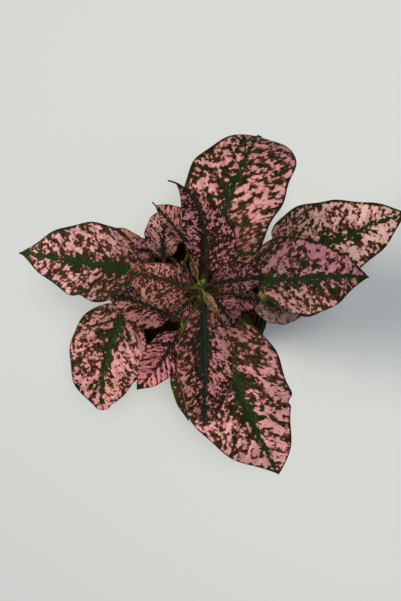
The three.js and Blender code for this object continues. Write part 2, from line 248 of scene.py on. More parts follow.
# A dictionary's "relief" is how deep the bumps are in mm, and how strongly they show.
def bump(tree, shader, height, relief):
    node = tree.nodes.new("ShaderNodeBump")
    node.inputs["Strength"].default_value = relief[1]
    node.inputs["Distance"].default_value = relief[0] * mm
    plug(tree, node.inputs["Height"], height)
    plug(tree, shader.inputs["Normal"], node.outputs[0])


def readPoint(tree, name, output="Fac"):
    node = tree.nodes.new("ShaderNodeAttribute")
    node.attribute_name = name
    return node.outputs[output]


def placeInMm(tree):
    node = tree.nodes.new("ShaderNodeTexCoord")
    return calcVector(tree, "SCALE", node.outputs["Object"], scale=1 / mm)


# Pale paper, with painted shade that darkens it a little towards the near left.
def addFloor():
    material, tree, shader = newMaterial("paper", floorLook["shine"], floorLook["roughness"])
    place = placeInMm(tree)
    low = tuple(c * (1 - floorLook["fibre"]) for c in floorLook["colour"])
    colour = mixColours(tree, noiseAt(tree, place, floorLook["fibreSize"], 3), low, floorLook["colour"])
    # Painted shade: the paper's colour darkens towards the near left, where the light falls off.
    x, y = splitVector(tree, place)[:2]
    towardsX, towardsY = floorLook["paintedShadeTowards"]
    nearLeft = calc(tree, "MULTIPLY_ADD", x, towardsX, times(tree, y, towardsY))
    paintedShadeRamp = fromTo(tree, nearLeft, *floorLook["paintedShadeRamp"])
    colour = mixColours(tree, paintedShadeRamp, colour, tuple(c * floorLook["paintedShadeFactor"] for c in floorLook["colour"]))
    plug(tree, shader.inputs["Base Color"], colour)
    half = floorLook["size"] / 2
    corners = [(-half, -half, 0), (half, -half, 0), (half, half, 0), (-half, half, 0)]
    makePiece("floor", corners, [(0, 1, 2, 3)], material)


# Pot. "collarSlope", "lipSlope" and "innerSlope" are how far each step in the wall slopes.

potSize = {
    "height": 70, "footRadius": 27, "bodyTopRadius": 36.8, "collarRadius": 38.6, "lipRadius": 40,
    "collarHeight": 11, "lipHeight": 3, "wall": 1.2, "edgeRound": 0.8, "sides": 144,
    "collarSlope": 0.8, "lipSlope": 0.4, "innerSlope": 1.4,
    "drainHoles": 6, "drainRadius": 3, "drainCircle": 18, "drillSpan": (-3, 4), "drillSides": 32,
    "black": rgb(14, 17, 21), "dust": rgb(40, 48, 56), "dustShare": 0.6, "shine": 0.1,
    "cloudSize": 9, "cloud": (0.45, 0.75), "speckSize": 0.7, "speck": (0.4, 0.7),
    "roughness": (0.2, 0.8, 0.5, 0.68), "grainSize": 0.35, "relief": (0.05, 0.5),
}


def potInside(z):
    share = min(z / (potSize["height"] - potSize["collarHeight"]), 1)
    return mix(potSize["footRadius"], potSize["bodyTopRadius"], share) - potSize["wall"]


# A rounding on a corner of the profile. It takes up no more than "most" of each side next to it.
def roundCorner(before, corner, after, radius, steps=4, most=0.48):
    before, corner, after = Vector(before), Vector(corner), Vector(after)
    first = corner + (before - corner).normalized() * min(radius, (before - corner).length * most)
    last = corner + (after - corner).normalized() * min(radius, (after - corner).length * most)
    return [
        tuple(first.lerp(corner, t).lerp(corner.lerp(last, t), t))
        for t in (i / steps for i in range(steps + 1))
    ]


def spinProfile(profile, sides):
    points = [
        (r * math.cos(2 * math.pi * i / sides), r * math.sin(2 * math.pi * i / sides), z)
        for r, z in profile[1:-1] for i in range(sides)
    ]
    points += [(0, 0, profile[0][1]), (0, 0, profile[-1][1])]
    faces = skinOver(len(profile) - 2, sides, len(points) - 2, len(points) - 1)
    return points, [face[::-1] for face in faces]


def potFinish():
    material, tree, shader = newMaterial("black plastic", potSize["shine"])
    place = placeInMm(tree)
    cloud = noiseAt(tree, place, potSize["cloudSize"], 5, 0.6)
    speck = noiseAt(tree, place, potSize["speckSize"], 2, 0.6)
    dusty = times(tree, fromTo(tree, cloud, *potSize["cloud"]), fromTo(tree, speck, *potSize["speck"]))
    colour = mixColours(tree, times(tree, dusty, potSize["dustShare"]), potSize["black"], potSize["dust"])
    plug(tree, shader.inputs["Base Color"], colour)
    plug(tree, shader.inputs["Roughness"], fromTo(tree, cloud, *potSize["roughness"]))
    bump(tree, shader, noiseAt(tree, place, potSize["grainSize"], 3), potSize["relief"])
    return material


def potProfile():
    height, wall = potSize["height"], potSize["wall"]
    collarFoot = height - potSize["collarHeight"]
    lipFoot = height - potSize["lipHeight"]
    inner = potSize["collarRadius"] - wall
    corners = [
        (0, 0), (potSize["footRadius"], 0), (potSize["bodyTopRadius"], collarFoot),
        (potSize["collarRadius"], collarFoot + potSize["collarSlope"]), (potSize["collarRadius"], lipFoot),
        (potSize["lipRadius"], lipFoot + potSize["lipSlope"]), (potSize["lipRadius"], height),
        (inner, height), (inner, collarFoot + potSize["innerSlope"]), (potInside(collarFoot), collarFoot),
        (potInside(wall), wall), (0, wall),
    ]
    profile = [corners[0]]
    for before, corner, after in zip(corners, corners[1:], corners[2:]):
        profile += roundCorner(before, corner, after, potSize["edgeRound"])
    return profile + [corners[-1]]


def makePot():
    points, faces = spinProfile(potProfile(), potSize["sides"])
    pot = makePiece("nursery_pot", points, faces, potFinish())
    low, high = potSize["drillSpan"]
    around = [(0, low), (potSize["drainRadius"], low), (potSize["drainRadius"], high), (0, high)]
    drillPoints, drillFaces = spinProfile(around, potSize["drillSides"])
    drills = []
    for i in range(potSize["drainHoles"]):
        angle = (i + 0.5) / potSize["drainHoles"] * 2 * math.pi
        x, y = potSize["drainCircle"] * math.cos(angle), potSize["drainCircle"] * math.sin(angle)
        moved = [(x + a, y + b, c) for a, b, c in drillPoints]
        drills.append(makePiece(f"drill{i}", moved, drillFaces, pot.active_material))
        cut = pot.modifiers.new("drain", "BOOLEAN")
        cut.object = drills[-1]
        cut.solver = "EXACT"
    shaped = pot.evaluated_get(bpy.context.evaluated_depsgraph_get())
    pot.data = bpy.data.meshes.new_from_object(shaped)
    pot.modifiers.clear()
    for drill in drills:
        bpy.data.objects.remove(drill)
    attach(pot, "root")
    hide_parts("pot")


# Soil. Crumbs and chips are lumps with 20 faces, stretched, roughened and sunk in by the shares given here.

soilSize = {
    "level": 58, "mound": 1.6, "lump": 0.9, "longWave": 21, "shortWave": 12, "shoulder": 2, "clearance": 0.3,
    "bevelAcross": 2.5, "bevelUp": 2, "grain": 0.7, "grainSize": 3, "fineGrain": 0.6, "slices": (0.5, 4.5),
    "rings": 56, "sides": 200, "crumbs": 1500, "crumbSizes": (0.5, 1.7), "crumbFlat": 0.8,
    "chips": 60, "chipSizes": (2.2, 4.2), "chipFlat": 0.35,
    "long": 1.5, "wide": (0.7, 1.1), "rough": (0.75, 1.15), "lift": 0.15, "tiltUpTo": 0.4, "seed": 11,
    "dark": rgb(25, 20, 14), "brown": rgb(62, 48, 34), "moss": rgb(62, 60, 34),
    "shine": 0.25, "roughness": 0.95, "patchSize": 6, "mossy": (0.52, 0.75, 0, 0.5),
    "crumbGrain": 0.8, "browner": (0.35, 0.7), "relief": (0.5, 0.9),
}
soilEdge = potInside(soilSize["level"] - soilSize["shoulder"]) - soilSize["clearance"]


# The soil's large forms, as on the solid.
def soilHeight(x, y):
    r = math.hypot(x, y) / soilEdge
    long, short = 2 * math.pi / soilSize["longWave"], 2 * math.pi / soilSize["shortWave"]
    lumps = math.sin(long * x + 1) * math.cos(long * y) + math.sin(short * (x - y)) / 2
    return soilSize["level"] + soilSize["mound"] * (0.5 - r * r) + soilSize["lump"] * lumps * (1 - r / 2)


# Coarse and fine grain are two slices through noise, the coarse one with five sizes, each half the last.
def grainHeight(x, y):
    coarseSlice, fineSlice = soilSize["slices"]
    place = (x / soilSize["grainSize"], y / soilSize["grainSize"], coarseSlice)
    rough = noise.fractal(place, 1, 2, 5) + soilSize["fineGrain"] * noise.noise((x, y, fineSlice))
    return soilHeight(x, y) + soilSize["grain"] * rough


def soilFinish():
    material, tree, shader = newMaterial("potting mix", soilSize["shine"], soilSize["roughness"])
    place = placeInMm(tree)
    patch = noiseAt(tree, place, soilSize["patchSize"], 4, 0.6)
    crumb = noiseAt(tree, place, soilSize["crumbGrain"], 4, 0.7)
    brown = mixColours(tree, fromTo(tree, crumb, *soilSize["browner"]), soilSize["dark"], soilSize["brown"])
    mossy = fromTo(tree, patch, *soilSize["mossy"])
    plug(tree, shader.inputs["Base Color"], mixColours(tree, mossy, brown, soilSize["moss"]))
    bump(tree, shader, crumb, soilSize["relief"])
    return material


# The 12 corners of a body with 20 equal faces, whose edges are 2 long, and the faces: any three corners
# that are no further apart than an edge.
def lumpPattern():
    golden = (1 + 5 ** 0.5) / 2
    corners = [(0, a, b * golden) for a in (-1, 1) for b in (-1, 1)]
    corners += [(b, c, a) for a, b, c in corners] + [(c, a, b) for a, b, c in corners]
    corners = [Vector(c) for c in corners]
    faces = []
    for i in range(12):
        for j in range(i + 1, 12):
            for k in range(j + 1, 12):
                a, b, c = corners[i], corners[j], corners[k]
                if max((a - b).length, (b - c).length, (a - c).length) < 2.1:
                    faces.append((i, j, k) if (b - a).cross(c - a).dot(a) > 0 else (i, k, j))
    return corners, faces


def lumpPoints(rand, corners, centre, size, flat):
    tilt = soilSize["tiltUpTo"]
    ahead = Vector((rand.uniform(-1, 1), rand.uniform(-1, 1), rand.uniform(-tilt, tilt)))
    turn = ahead.to_track_quat("X", "Z")
    stretch = Vector((soilSize["long"], rand.uniform(*soilSize["wide"]), flat))
    points = []
    for corner in corners:
        out = corner.normalized() * size / 2 * rand.uniform(*soilSize["rough"])
        points.append(Vector(centre) + turn @ Vector(a * b for a, b in zip(out, stretch)))
    return points


def makeSoil():
    rings, sides = soilSize["rings"], soilSize["sides"]
    foot = potSize["wall"] + soilSize["clearance"]
    bevelTop = foot + soilSize["bevelUp"]
    shoulder = soilSize["level"] - soilSize["shoulder"]
    profile = [
        (0, foot), (potInside(foot) - soilSize["bevelAcross"], foot),
        (potInside(bevelTop) - soilSize["clearance"], bevelTop), (soilEdge, shoulder),
    ]
    # The top takes the grain's height.
    profile += [(soilEdge * ring / rings, None) for ring in range(rings, -1, -1)]
    points = []
    for r, z in profile[1:-1]:
        for i in range(sides):
            x, y = r * math.cos(2 * math.pi * i / sides), r * math.sin(2 * math.pi * i / sides)
            points.append((x, y, grainHeight(x, y) if z is None else z))
    points += [(0, 0, foot), (0, 0, grainHeight(0, 0))]
    faces = [face[::-1] for face in skinOver(len(profile) - 2, sides, len(points) - 2, len(points) - 1)]
    rand = random.Random(soilSize["seed"])
    corners, pattern = lumpPattern()
    kinds = [(soilSize["crumbSizes"], soilSize["crumbFlat"])] * soilSize["crumbs"]
    kinds += [(soilSize["chipSizes"], soilSize["chipFlat"])] * soilSize["chips"]
    for sizes, flat in kinds:
        size = rand.uniform(*sizes)
        r = (soilEdge - size) * math.sqrt(rand.random())
        angle = rand.uniform(0, 2 * math.pi)
        x, y = r * math.cos(angle), r * math.sin(angle)
        first = len(points)
        points += lumpPoints(rand, corners, (x, y, grainHeight(x, y) + size * soilSize["lift"]), size, flat)
        faces += [tuple(first + i for i in face) for face in pattern]
    soil = makePiece("potting_mix", points, faces, soilFinish())
    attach(soil, "root")
    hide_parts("soil")


# Stems: each shoot is a smooth curve through its points, swollen at its joints, with a bud at the tip and,
# on most, two bud leaves that stand against it at the headings given.

shoots = {
    "main": {
        "points": [
            (0, 0, 36.6), (0, 0, 48), (0, 0, 59), (0.6, 3, 82), (0.3, 6.6, 108), (-0.2, 10.4, 136),
            (-0.3, 11, 142),
        ],
        "radii": (2.3, 1.1), "joints": (72, 80, 92, 106, 120, 132), "bud": 1.6, "budLeaves": (212, 40),
    },
    "southWest": {
        "points": [(0, 3.4, 84), (-4.2, -1.2, 94), (-8, -7.2, 106), (-9, -9.6, 115)],
        "radii": (1.5, 1), "joints": (107,), "bud": 1.4, "budLeaves": (100, 290),
    },
    "northWest": {
        "points": [(0, 3.6, 84), (-3.8, 11, 92), (-8.2, 20.4, 101), (-9.2, 23.4, 109)],
        "radii": (1.5, 1), "joints": (98, 105), "bud": 1.3, "budLeaves": (),
    },
    "east": {
        "points": [(0, 3.8, 86), (6, 5.6, 94), (11.4, 7.2, 104), (12.8, 7.6, 110)],
        "radii": (1.4, 0.9), "joints": (105,), "bud": 1.2, "budLeaves": (80, 250),
    },
}
# Every stem has four low ridges. Its taper would end "taperPast" over the tip, which leaves the tip blunt.
stemLook = {
    "swelling": 0.35, "reach": 1.8, "ringStep": 0.7, "sides": 24, "ridges": 4, "ridge": 0.07,
    "budBelowTip": 3, "budReach": 1.6, "lastRing": 0.25, "tipTaper": 2, "taperPast": 0.3,
    "tipColourReach": 7, "green": rgb(86, 104, 44), "olive": rgb(98, 84, 48), "bud": rgb(80, 88, 30),
    "shine": 0.4, "roughness": 0.5, "streakSize": 0.8, "streakLong": 0.15, "streak": (0.35, 0.65),
    "flush": rgb(120, 62, 58), "flushSize": 7, "flushed": (0.5, 0.7, 0, 0.7), "relief": (0.25, 0.6),
    "glow": 0.15, "glowReach": (0.0012, 0.0012, 0.0006),
}
budLeafSize = {
    "length": 5.6, "width": 2.6, "thick": 0.42, "belowTip": 3.4, "footOut": 0.8, "from": 0.9, "out": 2.4,
    "tipOut": 3.4, "bend": 1.4, "widest": 0.8, "fullness": 0.8, "rings": 14, "sides": 16,
}


# The same centripetal curve as in the solids.
def curvePoint(points, t):
    at = min(t * (len(points) - 1), len(points) - 1 - 1e-9)
    i, part = int(at), at - int(at)
    p1, p2 = Vector(points[i]), Vector(points[i + 1])
    p0 = Vector(points[i - 1]) if i > 0 else 2 * p1 - p2
    p3 = Vector(points[i + 2]) if i + 2 < len(points) else 2 * p2 - p1
    d0, d1, d2 = (math.sqrt((b - a).length) for a, b in ((p0, p1), (p1, p2), (p2, p3)))
    leave = ((p1 - p0) / d0 - (p2 - p0) / (d0 + d1) + (p2 - p1) / d1) * d1
    arrive = ((p2 - p1) / d1 - (p3 - p1) / (d1 + d2) + (p3 - p2) / d2) * d1
    square = -3 * p1 + 3 * p2 - 2 * leave - arrive
    return p1 + leave * part + square * part ** 2 + (2 * p1 - 2 * p2 + leave + arrive) * part ** 3


# Where a shoot is at a height, found by halving.
def pointAtHeight(points, height):
    low, high = 0.0, 1.0
    for _ in range(40):
        middle = (low + high) / 2
        if curvePoint(points, middle).z < height:
            low = middle
        else:
            high = middle
    return curvePoint(points, low)


def shootRadius(shoot, height):
    bottom, top = shoot["points"][0][2], shoot["points"][-1][2]
    plain = mix(*shoot["radii"], (height - bottom) / (top - bottom))
    swell = max(math.exp(-((height - at) / stemLook["reach"]) ** 2) for at in shoot["joints"])
    return plain + stemLook["swelling"] * swell


def stemFinish():
    material, tree, shader = newMaterial("soft stem", stemLook["shine"], stemLook["roughness"])
    place = placeInMm(tree)
    drawn = calcVector(tree, "MULTIPLY", place, (1, 1, stemLook["streakLong"]))
    streak = noiseAt(tree, drawn, stemLook["streakSize"], 3)
    colour = mixColours(tree, fromTo(tree, streak, *stemLook["streak"]), stemLook["green"], stemLook["olive"])
    patch = noiseAt(tree, place, stemLook["flushSize"], 2)
    flushed = fromTo(tree, patch, *stemLook["flushed"])
    colour = mixColours(tree, flushed, colour, stemLook["flush"])
    colour = mixColours(tree, readPoint(tree, "tip"), colour, stemLook["bud"])
    plug(tree, shader.inputs["Base Color"], colour)
    shader.inputs["Subsurface Weight"].default_value = stemLook["glow"]
    shader.inputs["Subsurface Radius"].default_value = stemLook["glowReach"]
    bump(tree, shader, streak, stemLook["relief"])
    return material


# A small folded leaf that stands against the bud.
def makeBudLeaf(foot, heading):
    turn = math.radians(heading)
    outward = Vector((math.cos(turn), math.sin(turn), 0))
    level = Vector((-math.sin(turn), math.cos(turn), 0))
    rings, sides = budLeafSize["rings"], budLeafSize["sides"]
    points = []
    for ring in range(rings):
        share = (ring + 0.5) / rings
        lift = Vector((0, 0, budLeafSize["length"] * share))
        out = budLeafSize["from"] + budLeafSize["out"] * share ** budLeafSize["bend"]
        centre = foot + outward * out + lift
        swell = math.sin(math.pi * share ** budLeafSize["widest"]) ** budLeafSize["fullness"]
        half = budLeafSize["width"] / 2 * swell
        for i in range(sides):
            angle = 2 * math.pi * i / sides
            deep = outward * half * budLeafSize["thick"] * math.sin(angle)
            points.append(tuple(centre + level * half * math.cos(angle) + deep))
    points.append(tuple(foot + outward * budLeafSize["footOut"]))
    points.append(tuple(foot + outward * budLeafSize["tipOut"] + Vector((0, 0, budLeafSize["length"]))))
    return points, [face[::-1] for face in skinOver(rings, sides, len(points) - 2, len(points) - 1)]


def makeStems():
    points, faces, tips = [], [], []
    sides = stemLook["sides"]
    for shoot in shoots.values():
        bottom, top = shoot["points"][0][2], shoot["points"][-1][2]
        count = int((top - bottom) / stemLook["ringStep"])
        ringSpan = top - stemLook["lastRing"] - bottom
        heights = [bottom + ringSpan * (i / count) for i in range(count + 1)]
        first = len(points)
        for height in heights:
            centre = pointAtHeight(shoot["points"], height)
            swell = math.exp(-((height - top + stemLook["budBelowTip"]) / stemLook["budReach"]) ** 2)
            taper = math.sqrt(min(1, (top + stemLook["taperPast"] - height) / stemLook["tipTaper"]))
            radius = shootRadius(shoot, height) * (1 - swell) + shoot["bud"] * swell
            for i in range(sides):
                angle = -2 * math.pi * i / sides
                ridged = 1 + stemLook["ridge"] * math.cos(stemLook["ridges"] * angle)
                r = radius * taper * ridged
                points.append((centre.x + r * math.cos(angle), centre.y + r * math.sin(angle), centre.z))
                tips.append(max(0, 1 - (top - height) / stemLook["tipColourReach"]))
        points += [tuple(pointAtHeight(shoot["points"], h)) for h in (bottom, top - 0.01)]  # its two ends
        tips += [0, 1]
        last = len(points)
        rings = skinOver(len(heights), sides, last - first - 2, last - first - 1)
        faces += [tuple(first + i for i in face) for face in rings]
        for heading in shoot["budLeaves"]:
            first = len(points)
            foot = pointAtHeight(shoot["points"], top - budLeafSize["belowTip"])
            budLeaf, budFaces = makeBudLeaf(foot, heading)
            points += budLeaf
            tips += [1] * len(budLeaf)
            faces += [tuple(first + i for i in face) for face in budFaces]
    stems = makePiece("stems_grown", points, faces, stemFinish())
    setOnPoints(stems.data, "tip", tips)
    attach(stems, "root")
    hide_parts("stems")


# Leaves. The stalk is its length, its heading and its rise in degrees where it leaves its shoot, at the
# height "at", and the blade goes on from the stalk's end. "left" and "right" are half widths seen from the
# stalk. "heading", "pitch" and "roll" are angles at the base and at the tip of the blade. "widest" is how
# far along each half is widest, and "fullness" how round it is. "point" is the length of the drawn-out tip,
# and "tipRound" its rounding. A notch in the margin is its half of the blade (0 for left), its place along
# it, its depth in mm, below 0 for a bulge, and its width as a share of the blade's length.

leafDefaults = {
    "shoot": "main", "size": "small", "left": 10, "right": 10, "roll": (0, 0), "swing": 1, "late": 1.6,
    "widest": (0.36, 0.36), "fullness": (0.62, 0.62), "point": 0, "tipRound": 0, "notches": (),
    "fold": 0.12, "curl": 1.5, "wave": 0.8, "waves": 2.5, "phase": 0, "ripple": 0.025,
}
leafSizes = {
    "large": {"stalk": 1.1, "across": 60, "step": 0.8},
    "middle": {"stalk": 0.9, "across": 44, "step": 0.7},
    "small": {"stalk": 0.8, "across": 36, "step": 0.6},
    "tiny": {"stalk": 0.6, "across": 20, "step": 0.4},
}
# Every blade's section in mm: its sheet, the grooves of its midrib and side veins, the pillows between them,
# and its stalk. "crowding" brings the points closer together at the midrib, and "sideLag" is how far the
# waves of the right edge are behind those of the left one.
bladeForm = {
    "thickness": 0.45, "edgeThickness": 0.28, "leastHalf": 0.4, "foldRound": 1.5, "crowding": 0.4,
    "ripples": 3.7, "sideLag": 1.9, "midribGroove": 0.25, "midribWidth": 0.6, "ribDepth": 0.9,
    "ribTaper": 0.85, "ribSpread": 0.2, "lean": 0.75, "bow": 0.35, "veinGroove": 0.22, "veinWidth": 0.7,
    "quilt": 0.55, "quiltFrom": 3, "stalkDip": 0.5, "stalkExtra": 0.8, "stalkRound": 0.85,
    "stalkTurn": 3, "flattenOver": 3.5, "usualLength": 80, "usualHalf": 25, "stalkRings": 16, "walkSteps": 8,
}

# Colours as they show in daylight.
salmon = rgb(214, 153, 150)
paleSalmon = rgb(226, 176, 160)
rose = rgb(170, 108, 103)
mauve = rgb(172, 112, 118)
duskyRose = rgb(116, 72, 72)
hotPink = rgb(214, 124, 131)
beige = rgb(150, 112, 80)
leafGreen = rgb(31, 38, 16)
oliveGreen = rgb(66, 68, 28)

# What each leaf's look says: "blotch", "speck" and "cell" are sizes in mm of the pink splashes and of the
# flecks in them, "rough" is how much the flecks break them up, "softness" how soft their edges are, and
# "pink" how much of the blade they cover. "towardsTip" adds to it along the blade, "tipGreen" takes it off
# the tip, "margin" off the edge, "band" is the width in mm of the green along the midrib, and "branch" how
# green the side veins are, up to "branchReach". "streak" is how far the splashes run along the side veins,
# left and right, at "streakTurn" degrees from the midrib, and "baseFine" makes them finer at the base.
# "veins" is the distance in mm from one vein to the next. "splash" is the pink, with "core" in places,
# "heart" times brighter in the middle and "splashEdge" around it. "fleck", "rim" and "green" follow
# outwards, and the last is full up to "darkUpTo". "midGreen" shows within "midReach" mm of the midrib,
# which is "rib" and "ribShare" as wide as usual. "edgeTone" is the leaf's edge, and "stalkTone" its stalk
# up to "stalkEnd" mm on the blade. The lists give a place along the blade, one across it (left is below 0)
# and a size in mm, each with a strength: "splashes" are large splashes, "bare" are green places,
# "mauveAndShade" is where the pink turns to "mauveAndShadeColour", a mauve that is partly the leaf's own
# and partly painted shade where the blade faces away from the light, "shade" is painted shade, where it all
# turns dark, as "baseShade" does at the base, partly painted shade from the leaves above and partly the
# base's own darker colour, and "yellowed" where the leaf has turned yellow.
lookDefaults = {
    "seed": 0, "blotch": 4.2, "speck": 1.75, "cell": 1.9, "rough": 1.0, "softness": 1, "pink": 0.0,
    "towardsTip": 0.1, "tipGreen": 0.7, "margin": 0.4, "band": 1.7, "branch": 0.5, "branchReach": 11,
    "streak": (1.1, 1.1), "streakTurn": 47, "baseFine": 0.5, "veins": 9, "veinDark": 0.1,
    "splash": salmon, "core": hotPink, "coreShare": 0.5, "heart": 1.12, "splashEdge": rose,
    "fleck": rgb(92, 54, 42), "rim": rgb(54, 44, 26), "green": leafGreen, "darkUpTo": 0.16,
    "midGreen": rgb(36, 60, 34), "midReach": 4, "rib": rgb(36, 56, 34), "ribShare": 1,
    "edgeTone": rgb(38, 46, 20), "stalkTone": rgb(74, 66, 36), "stalkEnd": 2.5,
    "splashes": (), "bare": (), "mauveAndShade": (), "mauveAndShadeColour": mauve, "shade": (), "baseShade": 0.5, "yellowed": (),
}
upperLook = {
    "blotch": 2.6, "speck": 1.15, "cell": 1.3, "softness": 0.5, "margin": 0.2, "band": 2.0, "branch": 0.2,
    "veins": 7, "splash": mauve, "coreShare": 0.25, "splashEdge": duskyRose, "fleck": rgb(78, 40, 38),
    "rim": rgb(46, 24, 18), "green": rgb(38, 24, 16), "darkUpTo": 0.3, "midGreen": rgb(28, 38, 28),
    "midReach": 2.5, "rib": rgb(28, 42, 30), "ribShare": 0.6, "edgeTone": rgb(52, 44, 22),
}

